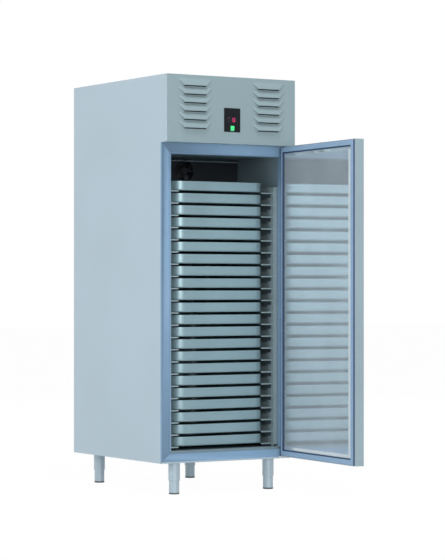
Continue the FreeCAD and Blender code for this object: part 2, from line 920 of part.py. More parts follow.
def blade_section(radius, chord, pitch_angle, sheet):
    """Cambered blade section, drawn across the blade at one radius."""
    rise = chord * 0.08
    upper = []
    lower = []
    for share in (-0.5, 0, 0.5):
        camber = rise * (1 - 4 * share * share)
        upper.append((share * chord, camber + sheet / 2))
        lower.append((share * chord, camber - sheet / 2))
    turn = math.radians(pitch_angle)
    ring = []
    for along, off in upper + lower[::-1]:
        across = along * math.cos(turn) - off * math.sin(turn)
        rise_out = along * math.sin(turn) + off * math.cos(turn)
        ring.append(V(across, rise_out, radius))
    return ring


def fan_blade_wheel(hub_radius, hub_length, tip_radius, chord, sheet, centre_y, axis_z):
    """Blades on a hub that runs on the motor's shaft, with the axis along Y."""
    start = V(0, -hub_length / 2, 0)
    way = V(0, 1, 0)
    hub = turned([(hub_radius, 0), (hub_radius, hub_length)], start, way, 5 * fan_blades)
    root = hub_radius * 0.8
    blade = lofted([
        blade_section(root, chord * 0.72, fan_root_pitch, sheet),
        blade_section(tip_radius * 0.97, chord, fan_tip_pitch, sheet),
    ])
    blades = []
    for index in range(fan_blades):
        copy = blade.copy()
        copy.rotate(V(0, 0, 0), way, 360 / fan_blades * index)
        blades.append(copy)
    bore = Part.makeCylinder(shaft_radius + shaft_clearance, hub_length, start, way)
    wheel = hub.fuse(blades).cut(bore)
    wheel.translate(V(0, centre_y, axis_z))
    return wheel


def motor_with_shaft(radius, length, y0, hub_start, axis_z):
    """Motor can with the shaft that carries the blades."""
    rounding = radius * 0.15
    profile = [(radius - rounding, 0), (radius, rounding), (radius, length)]
    can = turned(profile, V(0, y0, axis_z), V(0, 1, 0))
    reach = y0 - hub_start
    shaft = Part.makeCylinder(shaft_radius, reach, V(0, y0, axis_z), V(0, -1, 0))
    return can.fuse(shaft)


wheel_mid = shroud_back + fan_hub_length / 2 - fan_in_shroud
motor_start = wheel_mid + fan_hub_length / 2 + motor_gap


def condenser_fan_blades():
    tip = fan_hole_radius - fan_tip_gap
    return fan_blade_wheel(fan_hub_radius, fan_hub_length, tip, fan_chord, fan_blade_sheet,
                           wheel_mid, fan_axis)


def condenser_fan_motor():
    """Motor on a four-armed bracket that stands on the shroud."""
    motor = motor_with_shaft(motor_radius, motor_length, motor_start,
                             wheel_mid - fan_hub_length / 2, fan_axis)
    reach = fan_hole_radius + motor_arm
    arm_y = motor_start + 8
    arms = []
    for angle in (45, 135, 225, 315):
        spoke = box(motor_radius - 4, reach, arm_y, arm_y + motor_arm_sheet,
                    -motor_arm / 2, motor_arm / 2)
        foot = box(reach - motor_arm_sheet, reach, shroud_back, arm_y, -motor_arm / 2, motor_arm / 2)
        arm = spoke.fuse(foot)
        arm.rotate(V(0, 0, 0), V(0, 1, 0), angle)
        arm.translate(V(0, 0, fan_axis))
        arms.append(arm)
    return motor.fuse(arms)


def compressor():
    """Hermetic shell with its seam, foot plate and terminal cover."""
    foot = compressor_foot_height
    mid = foot + (compressor_height - foot) * 0.45
    radius = compressor_radius
    top = compressor_height
    profile = [
        (radius * 0.8, foot),
        (radius, foot + 30),
        (radius, mid - compressor_seam),
        (radius + compressor_seam, mid),
        (radius, mid + compressor_seam),
        (radius, top - 36),
        (radius * 0.7, top),
    ]
    place = V(compressor_x, compressor_y, unit_floor)
    shell = turned(profile, place)
    reach = compressor_foot_reach / math.sqrt(2)
    plate = box(-reach, reach, -reach, reach, foot - 4, foot)
    pads = []
    for x in (-1, 1):
        for y in (-1, 1):
            x_mid = x * (reach - 14)
            y_mid = y * (reach - 14)
            pads.append(box(x_mid - 10, x_mid + 10, y_mid - 10, y_mid + 10, 0, foot - 4))
    cover = box(radius * 0.7, radius + 26, -26, 26, mid + 10, mid + 56)
    base = plate.fuse(pads + [cover])
    base.translate(place)
    return shell.fuse(base)


def electrical_box():
    x0 = box_x - box_width / 2
    x1 = box_x + box_width / 2 - 5
    y0 = box_y - box_depth / 2
    y1 = box_y + box_depth / 2
    top = unit_floor + box_height
    case = box(x0, x1, y0, y1, unit_floor, top - box_lid)
    lid = box(x0 - 2, x1 + 2, y0 - 2, y1 + 2, top - box_lid, top)
    gland_at = V(box_x - box_width / 4, y1, unit_floor + box_height / 2)
    gland = Part.makeCylinder(gland_radius, gland_length, gland_at, V(0, 1, 0))
    bore = Part.makeCylinder(gland_radius / 2, gland_length + 4, gland_at, V(0, 1, 0))
    return case.fuse([lid, gland]).cut(bore)


def refrigerant_lines():
    """Discharge, liquid and suction pipes, with the drier in the liquid pipe."""
    coil_left = -coil_length / 2 - coil_end_sheet
    coil_y = coil_front + coil_depth / 2
    shell_reach = compressor_radius * math.cos(math.pi / drum_sides)
    shell_left = compressor_x - shell_reach
    shell_back = compressor_y + shell_reach
    high = unit_floor + discharge_rise
    low = unit_floor + liquid_rise
    middle = unit_floor + suction_rise
    near_y = duct_y - line_spacing / 2
    far_y = duct_y + line_spacing / 2
    side_x = duct_x - line_spacing / 2
    return_x = duct_x + line_spacing / 2
    cold_left = evaporator_coil_left()
    cold_z = chamber_roof - evaporator_coil_height / 2
    discharge = tube_along([
        V(shell_left, compressor_y, high),
        V(side_x, compressor_y, high),
        V(side_x, coil_y, high),
        V(coil_left, coil_y, high),
    ], line_radius, line_bend)
    liquid = tube_along([
        V(coil_left, coil_y, low),
        V(side_x, coil_y, low),
        V(side_x, near_y, low),
        V(side_x, near_y, cold_z),
        V(cold_left, near_y, cold_z),
    ], line_radius, line_bend)
    suction = tube_along([
        V(compressor_x, shell_back, middle),
        V(compressor_x, far_y, middle),
        V(return_x, far_y, middle),
        V(return_x, far_y, cold_z + line_spacing),
        V(cold_left, far_y, cold_z + line_spacing),
    ], line_radius, line_bend)
    shoulder = drier_radius * 0.6
    profile = [
        (line_radius, 0),
        (drier_radius, shoulder),
        (drier_radius, drier_length - shoulder),
        (line_radius, drier_length),
    ]
    drier = turned(profile, V(side_x, drier_start, low), V(0, 1, 0), 2 * pipe_sides)
    return Part.makeCompound([discharge, liquid.fuse(drier), suction])


def evaporator_places():
    y1 = chamber_back - evaporator_back_gap
    y0 = y1 - evaporator_depth
    low = chamber_roof - evaporator_drop
    return y0, y1, low


def evaporator_housing():
    """Drip tray under the coil with a front that holds the fan's guard."""
    y0, y1, low = evaporator_places()
    x = chamber_half - evaporator_side_gap
    sheet = evaporator_sheet
    floor = box(-x, x, y0, y1, low, low + sheet)
    face = box(-x, x, y0, y0 + sheet, low + sheet, chamber_roof)
    lip_top = low + evaporator_lip
    side = box(-x, sheet - x, y0 + sheet, y1, low + sheet, lip_top)
    rear = box(sheet - x, x - sheet, y1 - sheet, y1, low + sheet, lip_top)
    axis_z = low + evaporator_drop / 2
    way = V(0, 1, 0)
    hole = Part.makeCylinder(small_fan_hole, sheet, V(0, y0, axis_z), way)
    hub = Part.makeCylinder(guard_hub, sheet, V(0, y0, axis_z), way)
    across = box(-small_fan_hole, small_fan_hole, y0, y0 + sheet,
                 axis_z - guard_bar / 2, axis_z + guard_bar / 2)
    upright = box(-guard_bar / 2, guard_bar / 2, y0, y0 + sheet,
                  axis_z - small_fan_hole, axis_z + small_fan_hole)
    guard_gaps = hole.cut([hub, across, upright])
    return floor.fuse([face, side, mirrored(side), rear]).cut(guard_gaps)


def evaporator_coil_length():
    return 2 * (chamber_half - evaporator_coil_margin)


def evaporator_coil_left():
    return evaporator_coil_shift - evaporator_coil_length() / 2 - coil_end_sheet


def evaporator_coil():
    start = evaporator_places()[1] - evaporator_coil_back_gap - evaporator_coil_depth
    z0 = chamber_roof - evaporator_coil_height
    return finned_coil(evaporator_coil_length(), evaporator_coil_depth, evaporator_coil_height,
                       evaporator_fins, evaporator_coil_shift, start, z0)


def small_wheel_mid():
    return evaporator_places()[0] + evaporator_sheet + 8 + small_fan_hub_length / 2


def evaporator_fan_blades():
    low = evaporator_places()[2]
    tip = small_fan_hole - fan_tip_gap
    return fan_blade_wheel(small_fan_hub, small_fan_hub_length, tip, small_fan_chord,
                           fan_blade_sheet, small_wheel_mid(), low + evaporator_drop / 2)


def evaporator_fan_motor():
    """Motor hung from the ceiling on a strap."""
    low = evaporator_places()[2]
    axis_z = low + evaporator_drop / 2
    wheel_start = small_wheel_mid() - small_fan_hub_length / 2
    can_start = wheel_start + small_fan_hub_length + motor_gap
    motor = motor_with_shaft(small_motor_radius, small_motor_length, can_start, wheel_start, axis_z)
    y0 = can_start + 14
    strap = box(-12, 12, y0, y0 + 20, axis_z, chamber_roof)
    return motor.fuse(strap)


# ---------------------------------------------------------------- the assembly
pieces = {
    "side_panel_left": side_panel(),
    "side_panel_right": mirrored(side_panel()),
    "rear_panel": rear_panel(),
    "machine_deck": machine_deck(),
    "base_panel": base_panel(),
    "wall_insulation": wall_insulation(),
    "inner_liner": inner_liner(),
    "door_frame": door_frame(),
    "fascia_panel": fascia_panel(),
    "control_plate": control_plate(),
    "thermostat": thermostat(),
    "switch_housing": switch_housing(),
    "rocker_switch": rocker_switch(),
    "unit_base": unit_base(),
    "compressor": compressor(),
    "condenser_coil": condenser_coil(),
    "condenser_shroud": condenser_shroud(),
    "condenser_fan_motor": condenser_fan_motor(),
    "condenser_fan_blades": condenser_fan_blades(),
    "evaporator_coil": evaporator_coil(),
    "evaporator_housing": evaporator_housing(),
    "evaporator_fan_motor": evaporator_fan_motor(),
    "evaporator_fan_blades": evaporator_fan_blades(),
    "refrigerant_lines": refrigerant_lines(),
    "electrical_box": electrical_box(),
    "rack_posts": rack_posts(),
    "tray_slides": tray_slides(),
    "hinge_brackets": hinge_brackets(),
    "door_outer_skin": swung_open(door_outer_skin()),
    "door_insulation": swung_open(door_insulation()),
    "door_liner": swung_open(door_liner()),
    "door_gasket": swung_open(door_gasket()),
    "door_bushes": swung_open(door_bushes()),
    "leg_sleeves": Part.makeCompound([leg_sleeve(*place) for place in leg_places().values()]),
}
for corner, place in leg_places().items():
    pieces["foot_" + corner] = leg_foot(*place)
for number, level_height in enumerate(tray_heights, 1):
    pieces[f"tray_{number:02d}"] = tray(level_height)

os.makedirs("parts", exist_ok=True)
for name, shape in pieces.items():
    shape.exportStep(f"parts/{name}.step")
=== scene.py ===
"""Upright blast chiller with its door open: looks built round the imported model.

Metres, +Z up, -Y out of the mouth, +X to the right as seen from the front.
"""
import math

import bmesh
import bpy
from mathutils import Matrix, Vector


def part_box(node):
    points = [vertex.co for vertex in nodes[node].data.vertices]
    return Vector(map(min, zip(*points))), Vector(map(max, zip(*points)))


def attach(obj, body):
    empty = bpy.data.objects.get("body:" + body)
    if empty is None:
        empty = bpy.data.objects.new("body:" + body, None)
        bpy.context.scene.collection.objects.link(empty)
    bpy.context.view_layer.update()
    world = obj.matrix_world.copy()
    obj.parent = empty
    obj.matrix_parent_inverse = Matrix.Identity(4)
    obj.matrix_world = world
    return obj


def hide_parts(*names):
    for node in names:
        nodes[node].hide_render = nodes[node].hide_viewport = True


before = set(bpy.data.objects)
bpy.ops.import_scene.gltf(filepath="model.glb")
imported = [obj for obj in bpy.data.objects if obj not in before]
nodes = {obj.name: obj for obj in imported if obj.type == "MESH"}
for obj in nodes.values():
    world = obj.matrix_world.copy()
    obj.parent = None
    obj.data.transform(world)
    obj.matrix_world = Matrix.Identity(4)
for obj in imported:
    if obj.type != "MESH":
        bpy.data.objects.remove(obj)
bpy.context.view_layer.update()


# ---------------------------------------------------------------- floor, light and camera
# A pale floor that fades into a white background, four large soft lamps and a long lens at
# the photograph's place: level, near the cabinet's middle height and well to its left.
floor_half = 40.0
bpy.ops.object.select_all(action="DESELECT")
bpy.ops.mesh.primitive_plane_add(size=2 * floor_half, location=(0, 0, -0.0005))
studio_floor = bpy.context.object
studio_floor.name = "studio_floor"


def arithmetic(tree, operation):
    """A math node for one operation."""
    node = tree.nodes.new("ShaderNodeMath")
    node.operation = operation
    return node


def wired(tree, *pairs):
    """Links pairs of sockets, each from an output to an input."""
    for source, target in pairs:
        tree.links.new(source, target)


def seen_rays(tree):
    """Socket that is 1 for camera, glossy and transmission rays, and 0 for all others."""
    path = tree.nodes.new("ShaderNodeLightPath")
    total = path.outputs["Is Camera Ray"]
    for ray in ("Is Glossy Ray", "Is Transmission Ray"):
        joined_rays = arithmetic(tree, "MAXIMUM")
        wired(tree, (total, joined_rays.inputs[0]), (path.outputs[ray], joined_rays.inputs[1]))
        total = joined_rays.outputs[0]
    return total


floor_paint = bpy.data.materials.new("studio_floor_paint")
floor_paint.use_nodes = True
floor_tree = floor_paint.node_tree
floor_tree.nodes.clear()
floor_matte = floor_tree.nodes.new("ShaderNodeBsdfDiffuse")
floor_matte.inputs["Color"].default_value = (0.92, 0.93, 0.94, 1)
floor_glow = floor_tree.nodes.new("ShaderNodeEmission")
floor_glow.inputs["Color"].default_value = (1, 1, 1, 1)
floor_share = arithmetic(floor_tree, "MULTIPLY")
floor_share.inputs[1].default_value = 0.98
floor_mix = floor_tree.nodes.new("ShaderNodeMixShader")
floor_out = floor_tree.nodes.new("ShaderNodeOutputMaterial")
wired(
    floor_tree,
    (seen_rays(floor_tree), floor_share.inputs[0]),
    (floor_share.outputs[0], floor_mix.inputs[0]),
    (floor_matte.outputs[0], floor_mix.inputs[1]),
    (floor_glow.outputs[0], floor_mix.inputs[2]),
    (floor_mix.outputs[0], floor_out.inputs["Surface"]),
)
studio_floor.data.materials.append(floor_paint)

world = bpy.data.worlds.new("studio_world")
bpy.context.scene.world = world
world.use_nodes = True
sky_tree = world.node_tree
sky_tree.nodes.clear()
sky_light = sky_tree.nodes.new("ShaderNodeBackground")
sky_light.inputs["Color"].default_value = (0.90, 0.95, 1.0, 1)
sky_light.inputs["Strength"].default_value = 0.38
sky_seen = sky_tree.nodes.new("ShaderNodeBackground")
sky_seen.inputs["Color"].default_value = (1, 1, 1, 1)
sky_seen.inputs["Strength"].default_value = 1.0
sky_mix = sky_tree.nodes.new("ShaderNodeMixShader")
sky_out = sky_tree.nodes.new("ShaderNodeOutputWorld")
wired(
    sky_tree,
    (seen_rays(sky_tree), sky_mix.inputs[0]),
    (sky_light.outputs[0], sky_mix.inputs[1]),
    (sky_seen.outputs[0], sky_mix.inputs[2]),
    (sky_mix.outputs[0], sky_out.inputs["Surface"]),
)


def soft_lamp(name, place, target, size, power, colour):
    """A square area lamp that faces a point on the cabinet."""
    lamp_data = bpy.data.lights.new(name, "AREA")
    lamp_data.shape = "SQUARE"
    lamp_data.size = size
    lamp_data.energy = power
    lamp_data.color = colour
    lamp = bpy.data.objects.new(name, lamp_data)
    bpy.context.scene.collection.objects.link(lamp)
    lamp.location = place
    lamp.rotation_euler = (Vector(target) - Vector(place)).to_track_quat("-Z", "Y").to_euler()


soft_lamp("side_lamp", (-7.6, 0.1, 3.6), (-0.4, 0.1, 1.0), 3.5, 268, (0.98, 0.99, 1.0))
soft_lamp("front_lamp", (-2.3, -7.4, 2.2), (0, -0.4, 1.1), 3.0, 190, (1.0, 1.0, 1.0))
soft_lamp("top_lamp", (-0.6, -2.2, 6.6), (0, -0.4, 1.8), 1.6, 150, (1.0, 1.0, 1.0))
soft_lamp("rear_lamp", (5.5, 6.0, 4.5), (0, 0.4, 1.0), 4.0, 260, (1.0, 1.0, 1.0))

camera_data = bpy.data.cameras.new("photo_camera")
camera_data.lens = 142.7
camera_data.sensor_width = 36.0
camera_data.shift_y = 0.0121
camera_data.clip_end = 200.0
camera = bpy.data.objects.new("photo_camera", camera_data)
bpy.context.scene.collection.objects.link(camera)
camera.location = (-5.8002, -9.7592, 1.0158)
camera.rotation_euler = (math.radians(90), 0, math.radians(-31.76))
bpy.context.scene.camera = camera
bpy.context.scene.view_settings.view_transform = "Standard"


# ---------------------------------------------------------------- outer sheets
# The body is folded from 1.2 mm stainless sheet with a fine satin finish: two sides, a back,
# a roof deck and an underside, all seamed along their small folded edges.
def shared_group(name, inputs, outputs):
    """An empty shader node group with named sockets: (tree, its inputs, its outputs)."""
    tree = bpy.data.node_groups.new(name, "ShaderNodeTree")
    for label, kind, value in inputs:
        socket = tree.interface.new_socket(name=label, in_out="INPUT", socket_type=kind)
        socket.default_value = value
    for label in outputs:
        tree.interface.new_socket(name=label, in_out="OUTPUT", socket_type="NodeSocketFloat")
    return tree, tree.nodes.new("NodeGroupInput"), tree.nodes.new("NodeGroupOutput")


def ranged(tree, source, low, high):
    """Socket that carries a 0 to 1 source on to low to high, softened round its middle."""
    span = tree.nodes.new("ShaderNodeMapRange")
    span.inputs["From Min"].default_value = 0.3
    span.inputs["From Max"].default_value = 0.7
    span.inputs["To Min"].default_value = low
    span.inputs["To Max"].default_value = high
    tree.links.new(source, span.inputs["Value"])
    return span.outputs["Result"]


satin_grain, grain_in, grain_out = shared_group(
    "satin_grain",
    [("Stretch", "NodeSocketVector", (40.0, 900.0, 900.0)), ("Cloud Size", "NodeSocketFloat", 3.0)],
    ["Tone", "Roughness", "Height"],
)
grain_place = satin_grain.nodes.new("ShaderNodeTexCoord")
grain_stretch = satin_grain.nodes.new("ShaderNodeVectorMath")
grain_stretch.operation = "MULTIPLY"
grain_lines = satin_grain.nodes.new("ShaderNodeTexNoise")
grain_lines.inputs["Scale"].default_value = 1.0
grain_lines.inputs["Detail"].default_value = 3.0
grain_clouds = satin_grain.nodes.new("ShaderNodeTexNoise")
grain_clouds.inputs["Detail"].default_value = 2.0
grain_tone = arithmetic(satin_grain, "MULTIPLY")
grain_rough = arithmetic(satin_grain, "ADD")
lines_seen = grain_lines.outputs["Fac"]
clouds_seen = grain_clouds.outputs["Fac"]
wired(
    satin_grain,
    (grain_place.outputs["Object"], grain_stretch.inputs[0]),
    (grain_in.outputs["Stretch"], grain_stretch.inputs[1]),
    (grain_stretch.outputs[0], grain_lines.inputs["Vector"]),
    (grain_place.outputs["Object"], grain_clouds.inputs["Vector"]),
    (grain_in.outputs["Cloud Size"], grain_clouds.inputs["Scale"]),
    (ranged(satin_grain, lines_seen, 0.965, 1.035), grain_tone.inputs[0]),
    (ranged(satin_grain, clouds_seen, 0.975, 1.025), grain_tone.inputs[1]),
    (ranged(satin_grain, lines_seen, -0.03, 0.03), grain_rough.inputs[0]),
    (ranged(satin_grain, clouds_seen, -0.03, 0.03), grain_rough.inputs[1]),
    (grain_tone.outputs[0], grain_out.inputs["Tone"]),
    (grain_rough.outputs[0], grain_out.inputs["Roughness"]),
    (lines_seen, grain_out.inputs["Height"]),
)


def finish_with(name, colour, roughness, group, settings=(), bump=0.0, shader_values=()):
    """A material whose colour, roughness and surface vary as a shared node group says."""
    material = bpy.data.materials.new(name)
    material.use_nodes = True
    tree = material.node_tree
    shader = tree.nodes["Principled BSDF"]
    for socket, value in shader_values:
        shader.inputs[socket].default_value = value
    effect = tree.nodes.new("ShaderNodeGroup")
    effect.node_tree = group
    for socket, value in settings:
        effect.inputs[socket].default_value = value
    tint = tree.nodes.new("ShaderNodeMix")
    tint.data_type = "RGBA"
    tint.blend_type = "MULTIPLY"
    tint.inputs["Factor"].default_value = 1.0
    tint.inputs[6].default_value = (*colour, 1)
    tree.links.new(effect.outputs["Tone"], tint.inputs[7])
    tree.links.new(tint.outputs[2], shader.inputs["Base Color"])
    uneven = arithmetic(tree, "ADD")
    uneven.inputs[1].default_value = roughness
    tree.links.new(effect.outputs["Roughness"], uneven.inputs[0])
    tree.links.new(uneven.outputs[0], shader.inputs["Roughness"])
    if bump:
        relief = tree.nodes.new("ShaderNodeBump")
        relief.inputs["Strength"].default_value = 0.5
        relief.inputs["Distance"].default_value = bump
        tree.links.new(effect.outputs["Height"], relief.inputs["Height"])
        tree.links.new(relief.outputs["Normal"], shader.inputs["Normal"])
    return material


def satin(name, colour, roughness, stretch, cloud, bump, shader_values=()):
    """A satin_grain finish. One number for the stretch counts along every axis."""
    along = stretch if isinstance(stretch, tuple) else (stretch, stretch, stretch)
    return finish_with(name, colour, roughness, satin_grain,
                       [("Stretch", along), ("Cloud Size", cloud)], bump, shader_values)


def paint_nodes(material, *names):
    """Gives carried-over nodes a material."""
    for name in names:
        mesh = nodes[name].data
        mesh.materials.clear()
        mesh.materials.append(material)


def alone(piece):
    """Leaves one piece selected and active."""
    bpy.ops.object.select_all(action="DESELECT")
    bpy.context.view_layer.objects.active = piece
    piece.select_set(True)


def applied(piece, kind, **values):
    """Gives a piece a modifier and applies it."""
    alone(piece)
    modifier = piece.modifiers.new(kind.lower(), kind)
    for name, value in values.items():
        setattr(modifier, name, value)
    bpy.ops.object.modifier_apply(modifier=modifier.name)


def eased(piece, width, segments=2):
    """Rounds a piece's sharp edges by a small width."""
    applied(piece, "BEVEL", width=width, segments=segments, limit_method="ANGLE")


def finished(piece, material, body="cabinet", node=None, angle=35):
    """Last touches on a piece: smooth shading, material, body and the node it stands for."""
    alone(piece)
    bpy.ops.object.shade_smooth_by_angle(angle=math.radians(angle))
    applied(piece, "WEIGHTED_NORMAL", keep_sharp=True)
    piece.data.materials.clear()
    piece.data.materials.append(material)
    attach(piece, body)
    if node:
        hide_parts(node)
    return piece


def softened(node, name, edge, material, body="cabinet", angle=30, rounds=2):
    """A merged copy of a node with its edges rounded, which stands for the node."""
    piece = bpy.data.objects.new(name, nodes[node].data.copy())
    bpy.context.scene.collection.objects.link(piece)
    alone(piece)
    bpy.ops.mesh.customdata_custom_splitnormals_clear()
    bpy.ops.object.mode_set(mode="EDIT")
    bpy.ops.mesh.select_all(action="SELECT")
    bpy.ops.mesh.remove_doubles(threshold=0.00001)
    bpy.ops.mesh.dissolve_limited(angle_limit=math.radians(0.5))
    bpy.ops.object.mode_set(mode="OBJECT")
    applied(piece, "BEVEL", width=edge, segments=rounds, limit_method="ANGLE",
            angle_limit=math.radians(angle))
    return finished(piece, material, body, node)


across_grain = (30.0, 30.0, 1100.0)
upright_grain = (1100.0, 1100.0, 30.0)
outer_steel = satin("outer_steel", (0.385, 0.477, 0.535), 0.42, upright_grain, 2.2, 0.00002,
                    [("Metallic", 0.25)])
softened("side_panel_left", "outer_side_left", 0.0005, outer_steel)
softened("side_panel_right", "outer_side_right", 0.0005, outer_steel)
softened("base_panel", "underside", 0.0004, outer_steel)

zinc_spangle, _, zinc_out = shared_group("zinc_spangle", [], ["Tone", "Roughness", "Height"])
zinc_place = zinc_spangle.nodes.new("ShaderNodeTexCoord")
zinc_flakes = zinc_spangle.nodes.new("ShaderNodeTexVoronoi")
zinc_flakes.inputs["Scale"].default_value = 45.0
zinc_grey = zinc_spangle.nodes.new("ShaderNodeSeparateColor")
wired(
    zinc_spangle,
    (zinc_place.outputs["Object"], zinc_flakes.inputs["Vector"]),
    (zinc_flakes.outputs["Color"], zinc_grey.inputs[0]),
    (ranged(zinc_spangle, zinc_grey.outputs[0], 0.90, 1.07), zinc_out.inputs["Tone"]),
    (ranged(zinc_spangle, zinc_grey.outputs[1], -0.08, 0.08), zinc_out.inputs["Roughness"]),
    (zinc_flakes.outputs["Distance"], zinc_out.inputs["Height"]),
)
zinc_sheet = finish_with(
    "zinc_sheet", (0.42, 0.45, 0.47), 0.42, zinc_spangle, [], 0.00001, [("Metallic", 0.6)],
)
paint_nodes(zinc_sheet, "rear_panel", "machine_deck")


def block(name, low, high):
    """A box primitive between two corners, with its place in its mesh."""
    bpy.ops.object.select_all(action="DESELECT")
    middle = [(near + far) / 2 for near, far in zip(low, high)]
    bpy.ops.mesh.primitive_cube_add(size=1, location=middle)
    piece = bpy.context.object
    piece.name = name
    piece.scale = [far - near for near, far in zip(low, high)]
    bpy.ops.object.transform_apply(location=True, rotation=True, scale=True)
    return piece


def drum(name, centre, axis, radius, length, sides=64):
    """A round primitive that starts at a centre and runs along an axis."""
    bpy.ops.object.select_all(action="DESELECT")
    way = Vector(axis)
    middle = Vector(centre) + way * (length / 2)
    turn = way.to_track_quat("Z", "Y").to_euler()
    bpy.ops.mesh.primitive_cylinder_add(vertices=sides, radius=radius, depth=length,
                                        location=middle, rotation=turn)
    piece = bpy.context.object
    piece.name = name
    bpy.ops.object.transform_apply(location=True, rotation=True, scale=True)
    return piece


def pick(piece, kind, test):
    """Opens a piece for editing with only the edges or faces selected that pass a test."""
    if bpy.context.mode != "OBJECT":
        bpy.ops.object.mode_set(mode="OBJECT")
    alone(piece)
    bpy.ops.object.mode_set(mode="EDIT")
    bpy.ops.mesh.select_mode(type=kind)
    bpy.ops.mesh.select_all(action="DESELECT")
    mesh = bmesh.from_edit_mesh(piece.data)
    for part in mesh.edges if kind == "EDGE" else mesh.faces:
        if test(part):
            part.select_set(True)
    bmesh.update_edit_mesh(piece.data)


def faces_along(axis):
    """Test for faces that look along an axis."""
    return lambda face: face.normal.dot(Vector(axis)) > 0.9


def edges_at(axis, level, slack=0.00002):
    """Test for edges that lie in the plane at a level along an axis."""
    way = Vector(axis)
    return lambda edge: all(abs(corner.co.dot(way) - level) < slack for corner in edge.verts)


def pushed(step):
    """Extrudes what is selected by a step."""
    bpy.ops.mesh.extrude_region_move(TRANSFORM_OT_translate={"value": step})


def let_go():
    """Back from editing."""
    bpy.ops.object.mode_set(mode="OBJECT")


def copied(piece, name, matrix):
    """A second piece with its own mesh, moved by a matrix."""
    twin = bpy.data.objects.new(name, piece.data.copy())
    bpy.context.scene.collection.objects.link(twin)
    twin.data.transform(matrix)
    return twin


def joined(name, pieces):
    """Several pieces made one."""
    bpy.ops.object.select_all(action="DESELECT")
    for piece in pieces:
        piece.select_set(True)
    bpy.context.view_layer.objects.active = pieces[0]
    bpy.ops.object.join()
    pieces[0].name = name
    return pieces[0]


def screws(name, places, axis, radius, height, material, body="cabinet"):
    """Flat screw heads with a socket, all on one body."""
    first = drum(name, (0, 0, 0), axis, radius, height, 14)
    pick(first, "FACE", faces_along(axis))
    bpy.ops.mesh.inset(thickness=radius * 0.18, depth=0)
    bpy.ops.mesh.inset(thickness=radius * 0.35, depth=0)
    sunk = -Vector(axis) * height * 0.6
    pushed(sunk)
    let_go()
    eased(first, height * 0.25, 1)
    heads = [copied(first, name, Matrix.Translation(place)) for place in places]
    bpy.data.objects.remove(first)
    return finished(joined(name, heads), material, body)


bright_steel = satin("bright_steel", (0.50, 0.55, 0.58), 0.28, 300.0, 40.0, 0.00001,
                     [("Metallic", 0.8)])
rear_y = 0.4788
rear_rows = [0.20 + 0.2475 * step for step in range(7)]
rear_places = [(side * 0.34, rear_y, z) for side in (-1, 1) for z in rear_rows]
rear_places += [(x, rear_y, z) for x in (-0.17, 0, 0.17) for z in (rear_rows[0], rear_rows[-1])]
screws("rear_screws", rear_places, (0, 1, 0), 0.0045, 0.0011, bright_steel)


# ---------------------------------------------------------------- legs
# Steel tube sleeves are welded under the four corners. In each, a stainless stem turns up and
# down on its thread and stands on a thin plastic sole.
leg_steel = satin("leg_steel", (0.37, 0.455, 0.505), 0.34, across_grain, 9.0, 0.00002,
                  [("Metallic", 0.35)])
sole_plastic = satin("sole_plastic", (0.07, 0.085, 0.10), 0.55, 300.0, 30.0, 0.00005)


def ring(place, radius, thickness, around, across, turn=(0, 0, 0)):
    """A round wire ring, with its place in its mesh."""
    bpy.ops.object.select_all(action="DESELECT")
    bpy.ops.mesh.primitive_torus_add(location=place, rotation=turn, major_radius=radius,
                                     minor_radius=thickness, major_segments=around,
                                     minor_segments=across)
    bpy.ops.object.transform_apply(location=True, rotation=True, scale=True)
    return bpy.context.object


leg_x = 0.274
leg_y = 0.382
up = (0, 0, 1)
down = (0, 0, -1)
sleeve_radius = 0.0285
sleeve_foot = 0.066
sleeve_head = 0.154
sleeve_wall = 0.003
sleeve_bore = 0.085
weld_radius = 0.0016
stem_radius = 0.0254
stem_head = 0.126
sole_radius = 0.0262
sole_head = 0.007
sleeves = []
for corner, x, y in (
    ("front_left", -leg_x, -leg_y), ("front_right", leg_x, -leg_y),
    ("rear_left", -leg_x, leg_y), ("rear_right", leg_x, leg_y),
):
    foot = f"foot_{corner}"
    sleeve = drum("leg_sleeve", (x, y, sleeve_foot), up, sleeve_radius, sleeve_head - sleeve_foot)
    pick(sleeve, "FACE", faces_along(down))
    bpy.ops.mesh.inset(thickness=sleeve_wall)
    pushed((0, 0, sleeve_bore))
    pick(sleeve, "EDGE", edges_at(up, sleeve_foot))
    bpy.ops.mesh.bevel(offset=0.0009, segments=2)
    let_go()
    sleeves.append(sleeve)
    sleeves.append(ring((x, y, sleeve_head), sleeve_radius, weld_radius, 64, 8))

    stem = drum(f"foot_stem_{corner}", (x, y, sole_head), up, stem_radius, stem_head - sole_head)
    pick(stem, "EDGE", edges_at(up, sole_head))
    bpy.ops.mesh.bevel(offset=0.0012, segments=2)
    pick(stem, "EDGE", edges_at(up, stem_head))
    bpy.ops.mesh.bevel(offset=0.0020, segments=2)
    let_go()
    finished(stem, leg_steel, foot, foot)
    sole = drum(f"foot_sole_{corner}", (x, y, 0), up, sole_radius, sole_head)
    pick(sole, "EDGE", edges_at(up, 0))
    bpy.ops.mesh.bevel(offset=0.0022, segments=3)
    pick(sole, "EDGE", edges_at(up, sole_head))
    bpy.ops.mesh.bevel(offset=0.0008, segments=2)
    pick(sole, "FACE", faces_along(down))
    bpy.ops.mesh.inset(thickness=0.004)
    pushed((0, 0, 0.0015))
    let_go()
    finished(sole, sole_plastic, foot)
finished(joined("leg_sleeves_welded", sleeves), leg_steel, node="leg_sleeves")


# ---------------------------------------------------------------- chamber
# The food chamber is one welded stainless box with coved floor corners. Foam fills the walls
# round it.
liner_steel = satin("liner_steel", (0.20, 0.275, 0.31), 0.45, across_grain, 4.0, 0.00002,
                    [("Metallic", 0.15), ("Specular IOR Level", 0.25)])
paint_nodes(liner_steel, "inner_liner")
foam_cells = finish_with("foam_cells", (0.80, 0.72, 0.50), 0.9, zinc_spangle, [], 0.0004)
paint_nodes(foam_cells, "wall_insulation", "door_insulation")


